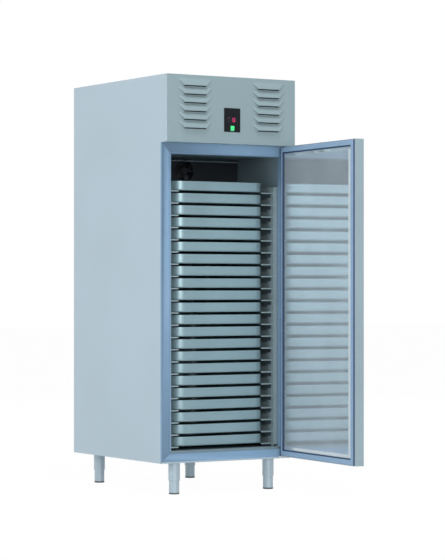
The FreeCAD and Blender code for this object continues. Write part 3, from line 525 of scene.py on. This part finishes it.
# ---------------------------------------------------------------- mouth frame
# Four mitred plastic bars cover the joint between the outer sheets and the chamber, so that
# the cold doesn't reach the outside.
frame_plastic = satin("frame_plastic", (0.200, 0.325, 0.470), 0.48, 250.0, 6.0, 0.00003,
                      [("Specular IOR Level", 0.3)])
softened("door_frame", "mouth_frame", 0.0007, frame_plastic)
# Behind the bars a thin strip lines each side and the top of the mouth. The outer face of each
# side strip slopes in over its back half.
throat_front = -0.4280
throat_back = -0.4035
throat_bend = -0.4168
throat_x = 0.3219
throat_half = 0.0030
throat_strips = []
for side in (-1, 1):
    strip = block("throat_strip", (-throat_half, throat_front, 0.214),
                  (throat_half, throat_back, 1.668))
    pick(strip, "FACE", lambda face, side=side: face.normal.x * side > 0.9)
    bpy.ops.mesh.bisect(plane_co=(0, throat_bend, 0), plane_no=(0, 1, 0))
    let_go()
    for corner in strip.data.vertices:
        if corner.co.x * side > 0 and corner.co.y > throat_bend + 0.0003:
            corner.co.x -= side * 0.0031
    strip.data.transform(Matrix.Translation((side * throat_x, 0, 0)))
    throat_strips.append(strip)
throat_strips.append(block("throat_strip", (-0.319, throat_front, 1.6662), (0.319, throat_back, 1.6688)))
throat = joined("mouth_throat", throat_strips)
eased(throat, 0.0006)
finished(throat, frame_plastic)


# ---------------------------------------------------------------- racks
# Four folded posts with square teeth stand in the chamber's corners. Bent angle strips hang
# behind the teeth and carry the trays.
rack_steel = satin("rack_steel", (0.30, 0.385, 0.41), 0.36, upright_grain, 6.0, 0.00002,
                   [("Metallic", 0.3)])
softened("rack_posts", "toothed_posts", 0.0004, rack_steel)
softened("tray_slides", "slide_strips", 0.0004, rack_steel)
tray_count = 22
slide_front = -0.3697
shelf_near = 0.2412
shelf_far = 0.2980
shelf_ends = []
for number in range(1, tray_count + 1):
    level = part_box(f"tray_{number:02d}")[0][2] - 0.0003
    for side in (-1, 1):
        near, far = sorted((side * shelf_near, side * shelf_far))
        shelf_ends.append(block("shelf_end", (near, slide_front, level - 0.0065),
                                (far, slide_front + 0.0014, level - 0.0002)))
folded_ends = joined("slide_front_folds", shelf_ends)
eased(folded_ends, 0.0004, 1)
finished(folded_ends, rack_steel)


# ---------------------------------------------------------------- trays
# Deep catering trays, each pressed from one thin stainless sheet, with wide corners, a rounded
# foot and a rolled bead round the rim.
tray_steel = satin("tray_steel", (0.255, 0.37, 0.405), 0.34, across_grain, 5.0, 0.00002,
                   [("Metallic", 0.35)])
tray_low, tray_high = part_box("tray_01")
bead = 0.0012
bead_height = 0.0035
tray_sheet = 0.0010
tray_corner = 0.0588
foot_round = 0.007
first_tray = block(
    "tray_pan_01",
    (tray_low[0] + bead, tray_low[1] + bead, tray_low[2]),
    (tray_high[0] - bead, tray_high[1] - bead, tray_high[2] - bead_height),
)
pick(first_tray, "EDGE", lambda edge: abs(edge.verts[0].co.z - edge.verts[1].co.z) > 0.01)
bpy.ops.mesh.bevel(offset=tray_corner, segments=12)
pick(first_tray, "EDGE", edges_at(up, tray_low[2]))
bpy.ops.mesh.bevel(offset=foot_round, segments=4)
pick(first_tray, "FACE", faces_along(up))
bpy.ops.mesh.inset(thickness=bead, use_outset=True)
pushed((0, 0, bead_height))
bpy.ops.mesh.inset(thickness=bead + tray_sheet)
tray_depth = tray_high[2] - tray_low[2] - tray_sheet
pushed((0, 0, -tray_depth))
pick(first_tray, "EDGE", edges_at(up, tray_low[2] + tray_sheet))
bpy.ops.mesh.bevel(offset=0.010, segments=4)
pick(first_tray, "EDGE", edges_at(up, tray_high[2]))
bpy.ops.mesh.bevel(offset=0.0007, segments=2)
let_go()
for number in range(2, tray_count + 1):
    node = f"tray_{number:02d}"
    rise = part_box(node)[0][2] - tray_low[2]
    tray = copied(first_tray, f"tray_pan_{number:02d}", Matrix.Translation((0, 0, rise)))
    finished(tray, tray_steel, node, node)
finished(first_tray, tray_steel, "tray_01", "tray_01")


# ---------------------------------------------------------------- evaporator
# The cold coil hangs under the chamber's ceiling: aluminium fins on copper tubes, over a drip
# tray with an upright face. A small fan behind a wire guard blows through it. The tray's face,
# the guard, its screws and the fan blades are painted near black: painted shade for the dark top
# of the chamber.
def spun(name, outline, centre, axis, steps=48, closed=False):
    """A shape turned round an axis from (radius, rise) points, as on a lathe."""
    bpy.ops.object.select_all(action="DESELECT")
    way = Vector(axis)
    out = way.orthogonal().normalized()
    places = [Vector(centre) + out * radius + way * rise for radius, rise in outline]
    if closed:
        places.append(places[0])
    bpy.ops.mesh.primitive_plane_add(size=0.001, location=places[0])
    piece = bpy.context.object
    piece.name = name
    bpy.ops.object.transform_apply(location=True, rotation=True, scale=True)
    bpy.ops.object.mode_set(mode="EDIT")
    bpy.ops.mesh.select_mode(type="VERT")
    bpy.ops.mesh.select_all(action="SELECT")
    bpy.ops.mesh.merge(type="CENTER")
    for near, far in zip(places, places[1:]):
        pushed(far - near)
    bpy.ops.mesh.select_all(action="SELECT")
    bpy.ops.mesh.spin(steps=steps, angle=2 * math.pi, center=centre, axis=axis)
    bpy.ops.mesh.select_all(action="SELECT")
    bpy.ops.mesh.remove_doubles(threshold=0.00001)
    bpy.ops.mesh.normals_make_consistent(inside=False)
    let_go()
    return piece


forward = (0, 1, 0)
facing_front = (math.pi / 2, 0, 0)
tube_radius = 0.0045
fan_bore = 0.00405


def finned_coil(name, low, high, rows, row_pitch, columns, column_pitch, bent_left):
    """Thin rippled fins in one piece, and the tubes with their return bends in another."""
    deep = high[1] - low[1]
    tall = high[2] - low[2]
    bpy.ops.object.select_all(action="DESELECT")
    bpy.ops.mesh.primitive_grid_add(x_subdivisions=10, y_subdivisions=1, size=1)
    fin = bpy.context.object
    for corner in fin.data.vertices:
        ripple = 0.0007 * (round((corner.co.x + 0.5) * 10) % 2)
        y = low[1] + (corner.co.x + 0.5) * deep
        corner.co = (ripple, y, low[2] + (corner.co.y + 0.5) * tall)
    applied(fin, "SOLIDIFY", thickness=0.0003, offset=0)
    pitch = 0.0045
    count = int((high[0] - low[0]) / pitch)
    fins = [copied(fin, name, Matrix.Translation((low[0] + (index + 0.5) * pitch, 0, 0)))
            for index in range(count)]
    for x in (low[0], high[0]):
        fins.append(block(name, (x - 0.001, low[1], low[2]), (x + 0.001, high[1], high[2])))
    bpy.data.objects.remove(fin)
    tubes = []
    first_z = (low[2] + high[2] - (rows - 1) * row_pitch) / 2
    first_y = (low[1] + high[1] - (columns - 1) * column_pitch) / 2
    for column in range(columns):
        y = first_y + column * column_pitch
        for row in range(rows):
            z = first_z + row * row_pitch
            tubes.append(drum(name, (low[0] - 0.003, y, z), (1, 0, 0), tube_radius,
                              high[0] - low[0] + 0.006, 12))
            right_bend = row % 2 == 0
            if row == rows - 1 or (not right_bend and column >= bent_left):
                continue
            bend_x = high[0] + 0.003 if right_bend else low[0] - 0.003
            tubes.append(ring((bend_x, y, z + row_pitch / 2), row_pitch / 2, tube_radius, 20, 8,
                              facing_front))
    return joined(f"{name}_fins", fins), joined(f"{name}_tubes", tubes)


def fan_wheel(name, hub_radius, hub_length, tip_radius, chord, centre, material, body, node):
    """Five twisted, cambered blades on a bored hub that turns about Y."""
    bpy.ops.object.select_all(action="DESELECT")
    bpy.ops.mesh.primitive_grid_add(x_subdivisions=10, y_subdivisions=8, size=2)
    blade = bpy.context.object
    root = hub_radius * 0.8
    tip = tip_radius * 0.97
    for corner in blade.data.vertices:
        outward = (corner.co.y + 1) / 2
        turn = math.radians(42 - 18 * outward)
        width = chord * (0.72 + 0.28 * outward) * (1 - 0.3 * outward ** 12)
        along = corner.co.x / 2 * width
        camber = width * 0.08 * (1 - corner.co.x ** 2)
        across = along * math.cos(turn) - camber * math.sin(turn)
        rise = along * math.sin(turn) + camber * math.cos(turn)
        corner.co = (across, rise, root + (tip - root) * outward)
    applied(blade, "SOLIDIFY", thickness=0.0018, offset=0)
    eased(blade, 0.0005)
    half_hub = hub_length / 2
    soft = 0.0015
    wheel = [spun(name, [
        (fan_bore, -half_hub), (hub_radius - soft, -half_hub), (hub_radius, soft - half_hub),
        (hub_radius, half_hub - soft), (hub_radius - soft, half_hub), (fan_bore, half_hub),
    ], (0, 0, 0), forward, 48, closed=True)]
    for index in range(5):
        wheel.append(copied(blade, name, Matrix.Rotation(math.radians(72 * index), 4, "Y")))
    bpy.data.objects.remove(blade)
    whole = joined(name, wheel)
    whole.data.transform(Matrix.Translation(centre))
    return finished(whole, material, body, node)


def motor_can(name, radius, length, centre, shaft_start):
    """A ribbed motor can along Y, with the shaft that carries the blades."""
    rib_start = length * 0.45
    rib_end = rib_start + 0.0030
    wall = radius - 0.001
    can = spun(name, [
        (0, 0), (0.012, 0), (0.012, 0.003), (radius - 0.006, 0.003), (wall, 0.008),
        (wall, rib_start), (radius, rib_start), (radius, rib_end), (wall, rib_end),
        (wall, length - 0.006), (radius - 0.007, length), (0, length),
    ], centre, forward, 48)
    shaft = drum(name, (centre[0], shaft_start, centre[2]), forward, 0.004,
                 centre[1] + 0.003 - shaft_start, 24)
    return [can, shaft]


fin_metal = satin("fin_metal", (0.50, 0.53, 0.55), 0.40, upright_grain, 20.0, 0.00002,
                  [("Metallic", 0.8)])
tube_copper = satin("tube_copper", (0.62, 0.30, 0.17), 0.35, 120.0, 60.0, 0.00002,
                    [("Metallic", 0.85)])
motor_black = satin("motor_black", (0.025, 0.027, 0.030), 0.45, 500.0, 25.0, 0.00008)
blade_metal = satin("blade_metal", (0.46, 0.48, 0.50), 0.42, 90.0, 18.0, 0.00002,
                    [("Metallic", 0.7)])
cold_low, cold_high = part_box("evaporator_coil")
cold_fins, cold_tubes = finned_coil(
    "evaporator", (cold_low[0] + 0.001, cold_low[1], cold_low[2]),
    (cold_high[0] - 0.001, cold_high[1], cold_high[2]), 3, 0.030, 5, 0.030, 3,
)
finished(cold_fins, fin_metal, node="evaporator_coil")
finished(cold_tubes, tube_copper)
# Painted shade: near black for the drip tray's face, the guard and the face screws, standing for the
# shade under the chamber's ceiling.
painted_shade_black = satin("painted_shade_black", (0.016, 0.020, 0.025), 0.55, 500.0, 6.0, 0.00006,
                   [("Specular IOR Level", 0.2)])
softened("evaporator_housing", "drip_tray_and_face", 0.0004, painted_shade_black)

guard_y = -0.0210
guard_z = 1.607
wire = 0.0010
guard_wires = [
    ring((0, guard_y - 0.001, guard_z), radius, wire, 56, 8, facing_front)
    for radius in (0.0535, 0.045, 0.036, 0.027, 0.018)
]
for angle in range(0, 360, 45):
    way = (math.cos(math.radians(angle)), 0, math.sin(math.radians(angle)))
    start = Vector((0, guard_y - 0.0025, guard_z)) + Vector(way) * 0.014
    guard_wires.append(drum("guard_wire", start, way, wire, 0.0430, 10))
finished(joined("evaporator_guard", guard_wires), painted_shade_black)
face_places = [(side * x, guard_y, z)
               for side in (-1, 1) for x in (0.10, 0.30) for z in (1.560, 1.654)]
screws("evaporator_screws", face_places, (0, -1, 0), 0.0035, 0.0010, painted_shade_black)

fold = block("evaporator_top_fold", (-0.3175, guard_y - 0.0016, 1.6560), (0.3175, guard_y, 1.6615))
eased(fold, 0.0006)
finished(fold, liner_steel)

# The evaporator blades take the black motor paint, which here also serves as painted shade.
fan_wheel("evaporator_blades", 0.018, 0.018, 0.050, 0.030, (0, -0.0028, guard_z),
          motor_black, "evaporator_fan", "evaporator_fan_blades")
small_motor = motor_can("evaporator_motor", 0.030, 0.046, (0, 0.0142, guard_z), -0.0118)
finished(joined("evaporator_motor", small_motor), motor_black,
         node="evaporator_fan_motor")
strap = block("motor_strap", (-0.012, 0.0282, guard_z + 0.026), (0.012, 0.0482, 1.669))
pick(strap, "FACE", faces_along(up))
pushed((0, 0, -0.0015))
bpy.ops.transform.resize(value=(2.2, 1.0, 1.0))
pushed((0, 0, 0.0015))
let_go()
eased(strap, 0.0005)
finished(strap, motor_black)


# ---------------------------------------------------------------- refrigeration unit
# On the roof, behind the louvres, a galvanised pan carries the finned condenser with its fan
# in a sheet shroud, and the black hermetic compressor on rubber feet.
softened("unit_base", "unit_pan", 0.0004, zinc_sheet)
hot_low, hot_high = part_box("condenser_coil")
hot_fins, hot_tubes = finned_coil(
    "condenser", (hot_low[0] + 0.001, hot_low[1], hot_low[2]),
    (hot_high[0] - 0.001, hot_high[1], hot_high[2]), 10, 0.025, 2, 0.030, 2,
)
finished(hot_fins, fin_metal, node="condenser_coil")
finished(hot_tubes, tube_copper)

shroud_black = satin("shroud_black", (0.045, 0.048, 0.052), 0.5, 700.0, 8.0, 0.0001)
softened("condenser_shroud", "fan_shroud", 0.0005, shroud_black)
hot_axis = 1.8465
shroud_back = -0.130
fan_ring = ring((0, shroud_back, hot_axis), 0.1022, 0.0022, 72, 10, facing_front)
finished(fan_ring, shroud_black).name = "rolled_fan_ring"
fan_wheel("condenser_blades", 0.028, 0.030, 0.096, 0.052, (0, -0.123, hot_axis),
          blade_metal, "condenser_fan", "condenser_fan_blades")
motor_pieces = motor_can("condenser_motor", 0.040, 0.062, (0, -0.100, hot_axis), -0.138)
arm = joined("motor_arm", [
    block("motor_arm", (0.036, -0.092, -0.006), (0.112, -0.089, 0.006)),
    block("motor_foot", (0.109, shroud_back, -0.006), (0.112, -0.0905, 0.006)),
])
eased(arm, 0.0007)
for angle in (45, 135, 225, 315):
    turn = Matrix.Translation((0, 0, hot_axis)) @ Matrix.Rotation(math.radians(angle), 4, "Y")
    motor_pieces.append(copied(arm, "motor_arm", turn))
bpy.data.objects.remove(arm)
finished(joined("condenser_motor", motor_pieces), motor_black,
         node="condenser_fan_motor")

compressor_black = satin("compressor_black", (0.018, 0.019, 0.021), 0.30, 160.0, 14.0, 0.0001,
                         [("Coat Weight", 0.3)])
shell_place = (-0.165, 0.190, 1.7215)
shell = spun("compressor_shell", [
    (0, 0.018), (0.055, 0.018), (0.070, 0.022), (0.079, 0.032), (0.084, 0.048), (0.084, 0.0895),
    (0.0875, 0.0905), (0.0880, 0.0936), (0.0875, 0.0967), (0.084, 0.0977), (0.084, 0.146),
    (0.0815, 0.158), (0.075, 0.170), (0.063, 0.180), (0.045, 0.1852), (0.020, 0.186), (0, 0.186),
], shell_place, up, 64)
plate_half = 0.0834
plate = block("compressor_plate", (-plate_half, -plate_half, 0.014), (plate_half, plate_half, 0.018))
pick(plate, "EDGE", lambda edge: abs(edge.verts[0].co.z - edge.verts[1].co.z) > 0.001)
bpy.ops.mesh.bevel(offset=0.014, segments=5)
let_go()
plate.data.transform(Matrix.Translation(shell_place))
cover = block("terminal_cover", (0.0588, -0.026, 0.1036), (0.110, 0.026, 0.1496))
eased(cover, 0.006, 3)
cover.data.transform(Matrix.Translation(shell_place))
body_pieces = [shell, plate, cover]
grommet_off = 0.0694
for x in (-grommet_off, grommet_off):
    for y in (-grommet_off, grommet_off):
        grommet = spun("rubber_foot", [
            (0, 0), (0.010, 0), (0.0115, 0.002), (0.0115, 0.005), (0.009, 0.007), (0.0115, 0.009),
            (0.0115, 0.019), (0.009, 0.022), (0.004, 0.022), (0.004, 0.026), (0, 0.026),
        ], (shell_place[0] + x, shell_place[1] + y, shell_place[2]), up, 24)
        body_pieces.append(grommet)
finished(joined("compressor_body", body_pieces), compressor_black,
         node="compressor")


# ---------------------------------------------------------------- refrigerant lines
# Copper tube joins the unit to the cold coil through a duct in the roof. The liquid line has a
# filter drier in it, and the cold return line wears a black foam sleeve.
def pipe(name, corners, radius, bend=0.020):
    """A round tube bent at right angles with an even radius."""
    corners = [Vector(corner) for corner in corners]
    line = [corners[0]]
    for before, corner, after in zip(corners, corners[1:], corners[2:]):
        come = (corner - before).normalized()
        leave = (after - corner).normalized()
        centre = corner - come * bend + leave * bend
        for step in range(9):
            turn = math.radians(11.25 * step)
            line.append(centre - leave * bend * math.cos(turn) + come * bend * math.sin(turn))
    line.append(corners[-1])
    run = bpy.data.curves.new(name, "CURVE")
    run.dimensions = "3D"
    run.bevel_depth = radius
    run.bevel_resolution = 4
    run.use_fill_caps = True
    spline = run.splines.new("POLY")
    spline.points.add(len(line) - 1)
    for point, place in zip(spline.points, line):
        point.co = (*place, 1)
    piece = bpy.data.objects.new(name, run)
    bpy.context.scene.collection.objects.link(piece)
    alone(piece)
    bpy.ops.object.convert(target="MESH")
    return bpy.context.object


line_radius = 0.0048
discharge = pipe("discharge_line", [
    (-0.2475, 0.190, 1.8395), (-0.302, 0.190, 1.8395),
    (-0.302, -0.200, 1.8395), (-0.232, -0.200, 1.8395),
], line_radius)
liquid = pipe("liquid_line", [
    (-0.232, -0.200, 1.7475), (-0.302, -0.200, 1.7475), (-0.302, 0.340, 1.7475),
    (-0.302, 0.340, 1.624), (-0.247, 0.340, 1.624),
], line_radius)
suction = pipe("suction_line", [
    (-0.165, 0.2725, 1.7835), (-0.165, 0.360, 1.7835), (-0.282, 0.360, 1.7835),
    (-0.282, 0.360, 1.644), (-0.247, 0.360, 1.644),
], line_radius)
finished(joined("copper_lines", [discharge, liquid, suction]), tube_copper,
         node="refrigerant_lines")
drier = spun("filter_drier", [
    (0.0050, 0), (0.0065, 0.004), (0.0125, 0.010), (0.014, 0.014), (0.014, 0.076), (0.0125, 0.080),
    (0.0065, 0.086), (0.0050, 0.090),
], (-0.302, 0.060, 1.7475), forward, 32, closed=True)
finished(drier, tube_copper)
sleeve_foam = finish_with("sleeve_foam", (0.020, 0.021, 0.022), 0.85, zinc_spangle, [], 0.0003)
foam_sleeve = pipe("return_line_sleeve", [
    (-0.165, 0.292, 1.7835), (-0.165, 0.360, 1.7835),
    (-0.282, 0.360, 1.7835), (-0.282, 0.360, 1.690),
], 0.0075)
finished(foam_sleeve, sleeve_foam)


# ---------------------------------------------------------------- electrical box
# A grey moulded case with a screwed lid holds the relays. The mains lead enters through the
# gland in its back.
box_plastic = satin("box_plastic", (0.36, 0.37, 0.38), 0.5, 600.0, 12.0, 0.00008)
softened("electrical_box", "relay_box", 0.0012, box_plastic)
lid_places = [(x, y, 1.8315) for x in (0.170, 0.295) for y in (0.070, 0.170)]
screws("lid_screws", lid_places, up, 0.0045, 0.0012, bright_steel)
nut = spun("gland_nut", [(0.0101, 0), (0.0135, 0), (0.0135, 0.005), (0.0101, 0.005)],
           (0.1975, 0.180, 1.7765), forward, 6, closed=True)
eased(nut, 0.0005)
finished(nut, motor_black, angle=25)


# ---------------------------------------------------------------- fascia
# The front of the machine housing is one folded steel sheet. Two columns of six hoods are
# pressed out of it, each open along its lower lip, so that air can reach the condenser.
fascia_steel = satin("fascia_steel", (0.262, 0.352, 0.380), 0.42, across_grain, 3.0, 0.00002,
                     [("Metallic", 0.2)])
sheet = 0.0012
panel_half = 0.372
panel_front = -0.480
panel_inside = panel_front + sheet
panel_foot = 1.720
panel_head = 2.050
fold_edge = panel_inside + 0.020
fascia = block("louvred_fascia", (-panel_half, panel_front, panel_foot),
               (panel_half, panel_inside, panel_head))
pick(fascia, "EDGE", lambda edge: all(corner.co.y < panel_front + 0.0001 for corner in edge.verts))
bpy.ops.mesh.bevel(offset=0.0009, segments=3)
let_go()

hood_height = 0.033
hood_low_half = 0.065
hood_top_half = 0.099
hood_proud = 0.012
louvre_x = 0.212
lowest_slot = 1.791
louvre_pitch = 0.0413
slots = [(x, lowest_slot + louvre_pitch * row) for x in (-louvre_x, louvre_x) for row in range(6)]


def opening_through(x, half_width, low_z, high_z):
    """A block that cuts right through the panel."""
    return block("opening", (x - half_width, panel_front - 0.01, low_z),
                 (x + half_width, panel_inside + 0.01, high_z))


slot_gap = 0.0045
opening_half = 0.061
opening_wide = (hood_top_half - 0.001) / opening_half
openings = []
for x, slot in slots:
    opening = opening_through(x, opening_half, slot - slot_gap, slot + hood_height - 0.0012)
    pick(opening, "FACE", faces_along(up))
    bpy.ops.transform.resize(value=(opening_wide, 1, 1))
    let_go()
    openings.append(opening)
openings.append(opening_through(0, 0.032, 1.821, 1.855))
openings.append(opening_through(0, 0.0123, 1.7822, 1.8108))
cutter = joined("openings", openings)
applied(fascia, "BOOLEAN", operation="DIFFERENCE", solver="EXACT", object=cutter)
bpy.data.objects.remove(cutter)

# One hood is a grid whose lines close up at its ends and lips. It swells from nothing at the
# top and at both ends to its full depth at the lower lip.
edge_steps = [0, 0.0006, 0.0014, 0.0024, 0.0036, 0.0050,
              0.0066, 0.0084, 0.0105, 0.014, 0.022, 0.036]
rise_steps = [0, 0.0012, 0.003, 0.006, 0.010, 0.014,
              0.018, 0.022, 0.0255, 0.0285, 0.0308, 0.0322, hood_height]
columns = 2 * len(edge_steps) - 1
bpy.ops.object.select_all(action="DESELECT")
rows = len(rise_steps) - 1
bpy.ops.mesh.primitive_grid_add(x_subdivisions=columns, y_subdivisions=rows, size=2)
hood = bpy.context.object
for corner in hood.data.vertices:
    column = round((corner.co.x + 1) / 2 * columns)
    rise = rise_steps[round((corner.co.y + 1) / 2 * rows)]
    from_left = column < len(edge_steps)
    inward = edge_steps[column if from_left else columns - column]
    reach = hood_low_half + (hood_top_half - hood_low_half) * rise / hood_height - inward
    from_top = min(1, (hood_height - rise) / 0.029)
    from_end = min(1, inward / 0.0095)
    rounded = math.sin(math.pi / 2 * from_top)
    swell = (0.75 * from_top + 0.25 * rounded) * (1 - (1 - from_end) ** 2.2)
    corner.co = (-reach if from_left else reach, panel_front - hood_proud * swell + 0.0002, rise)
applied(hood, "SOLIDIFY", thickness=0.0011, offset=1)
hood_steps = [copied(hood, "hood", Matrix.Translation((x, 0, slot))) for x, slot in slots]
bpy.data.objects.remove(hood)
back_half = 0.3708
returns = [
    block("return", (-back_half, panel_inside, panel_foot), (back_half, -0.417, panel_foot + sheet)),
    block("return", (-back_half, panel_inside, panel_head - sheet), (back_half, fold_edge, panel_head)),
    block("return", (-back_half, panel_inside, panel_foot), (sheet - back_half, fold_edge, panel_head)),
    block("return", (back_half - sheet, panel_inside, panel_foot), (back_half, fold_edge, panel_head)),
]
finished(joined("louvred_fascia", [fascia] + hood_steps + returns), fascia_steel,
         node="fascia_panel", angle=40)
# Behind each column of hoods lies a black dust filter mat.
filter_mesh = finish_with("filter_mesh", (0.012, 0.013, 0.014), 0.8, zinc_spangle, [], 0.0004)
mat_half = 0.106
for x, label in ((-louvre_x, "left"), (louvre_x, "right")):
    mat = block(f"dust_filter_{label}", (x - mat_half, -0.474, 1.776), (x + mat_half, -0.470, 2.036))
    pick(mat, "FACE", lambda face: abs(face.normal.y) > 0.9)
    bpy.ops.mesh.inset(thickness=0.006, depth=0)
    bpy.ops.mesh.inset(thickness=0.0008, depth=-0.0010)
    let_go()
    eased(mat, 0.0004, 1)
    finished(mat, filter_mesh)


# ---------------------------------------------------------------- control plate
# A black plate with small round corners covers the controller and the mains switch. Its upper
# strip is bare. The display shows one red figure, and the lit green rocker is pressed in below.
plate_black = satin("plate_black", (0.006, 0.007, 0.009), 0.40, 400.0, 20.0, 0.00002,
                    [("Specular IOR Level", 0.15)])
lens_black = satin("lens_black", (0.006, 0.007, 0.012), 0.12, 60.0, 20.0, 0.00001,
                   [("Specular IOR Level", 0.25)])
figure_red = satin("figure_red", (0.75, 0.02, 0.12), 0.4, 900.0, 90.0, 0.00001,
                   [("Emission Color", (0.90, 0.03, 0.20, 1)), ("Emission Strength", 0.85)])
softened("control_plate", "black_plate", 0.0004, plate_black)
softened("thermostat", "controller_case", 0.0004, lens_black)
lens_y = -0.4815
figure_x = 0.0084
figure_z = 1.838
bar = 0.0022
figure_half = 0.0052
figure_tall = 0.0088
level_bar = figure_half - 0.0012
upright_bar = 0.0039


def figure_bar(x, z, half_wide, half_tall):
    """One bar of the figure, about a place measured from the figure's middle."""
    middle_x = figure_x + x
    middle_z = figure_z + z
    return block("figure_bar", (middle_x - half_wide, lens_y - 0.0003, middle_z - half_tall),
                 (middle_x + half_wide, lens_y, middle_z + half_tall))


bars = [figure_bar(0, z, level_bar, bar / 2) for z in (-figure_tall, figure_tall)]
bars += [figure_bar(x, z, bar / 2, upright_bar)
         for x in (-figure_half, figure_half) for z in (-figure_tall / 2, figure_tall / 2)]
figure = joined("display_figure", bars)
pick(figure, "EDGE", lambda edge: abs(edge.verts[0].co.y - edge.verts[1].co.y) > 0.0002)
bpy.ops.mesh.bevel(offset=0.0009, segments=1)
let_go()
finished(figure, figure_red)
dot = spun("display_dot", [(0, 0.0003), (0.0007, 0.0003), (0.0010, 0.0001), (0.0010, 0), (0, 0)],
           (-0.0206, lens_y, 1.8475), (0, -1, 0), 20)
finished(dot, figure_red)

switch_black = satin("switch_black", (0.014, 0.015, 0.016), 0.35, 700.0, 50.0, 0.00005)
softened("switch_housing", "switch_frame", 0.0003, switch_black)
rocker_green = satin("rocker_green", (0.04, 0.55, 0.16), 0.25, 90.0, 90.0, 0.00002,
                     [("Emission Color", (0.05, 0.80, 0.22, 1)), ("Emission Strength", 0.55),
                      ("Coat Weight", 0.4)])
softened("rocker_switch", "green_rocker", 0.0005, rocker_green, "switch_rocker")


# ---------------------------------------------------------------- door
# A folded steel pan filled with foam. Its bright inner panel is pressed up in the middle, and
# a magnetic gasket runs round it, with painted shade on its flanks.
door_steel = satin("door_steel", (0.305, 0.395, 0.44), 0.40, upright_grain, 3.0, 0.00002,
                   [("Metallic", 0.25)])
mirror_steel = satin("mirror_steel", (0.49, 0.57, 0.62), 0.04, 6.0, 3.0, 0.0, [("Metallic", 0.5)])
softened("door_outer_skin", "door_pan", 0.0008, door_steel, "door")
softened("door_liner", "door_inner_panel", 0.0008, mirror_steel, "door", angle=15)
gasket_blue = satin("gasket_blue", (0.22, 0.335, 0.475), 0.5, 200.0, 20.0, 0.00003)
# Painted shade: this navy stands for the shade in the gasket's bellows folds, not for a second colour of
# rubber.
gasket_painted_shade = satin("gasket_painted_shade", (0.030, 0.060, 0.125), 0.55, 200.0, 20.0, 0.00003)
gasket = softened("door_gasket", "magnetic_gasket", 0.0006, gasket_blue, "door",
                  angle=40)
# The crest keeps the pale blue; its flanks and the thin lips on the door are painted navy as painted
# shade for the dark bellows folds.
gasket.data.materials.append(gasket_painted_shade)
open_angle = math.radians(85.5)
crest_way = Vector((-math.sin(open_angle), math.cos(open_angle), 0))
crest = max(corner.co.dot(crest_way) for corner in gasket.data.vertices)
crest_depth = 0.0012
for face in gasket.data.polygons:
    on_crest = crest - face.center.dot(crest_way) < crest_depth
    face.material_index = 0 if on_crest and face.normal.dot(crest_way) > 0.5 else 1


# ---------------------------------------------------------------- hinges
# Steel leaves under the fascia and below the door carry upright pins. The door turns on them
# in plastic bushes.
bush_white = satin("bush_white", (0.60, 0.61, 0.60), 0.45, 300.0, 60.0, 0.00003)
paint_nodes(bush_white, "door_bushes")
softened("hinge_brackets", "hinge_leaves", 0.0003, bright_steel)
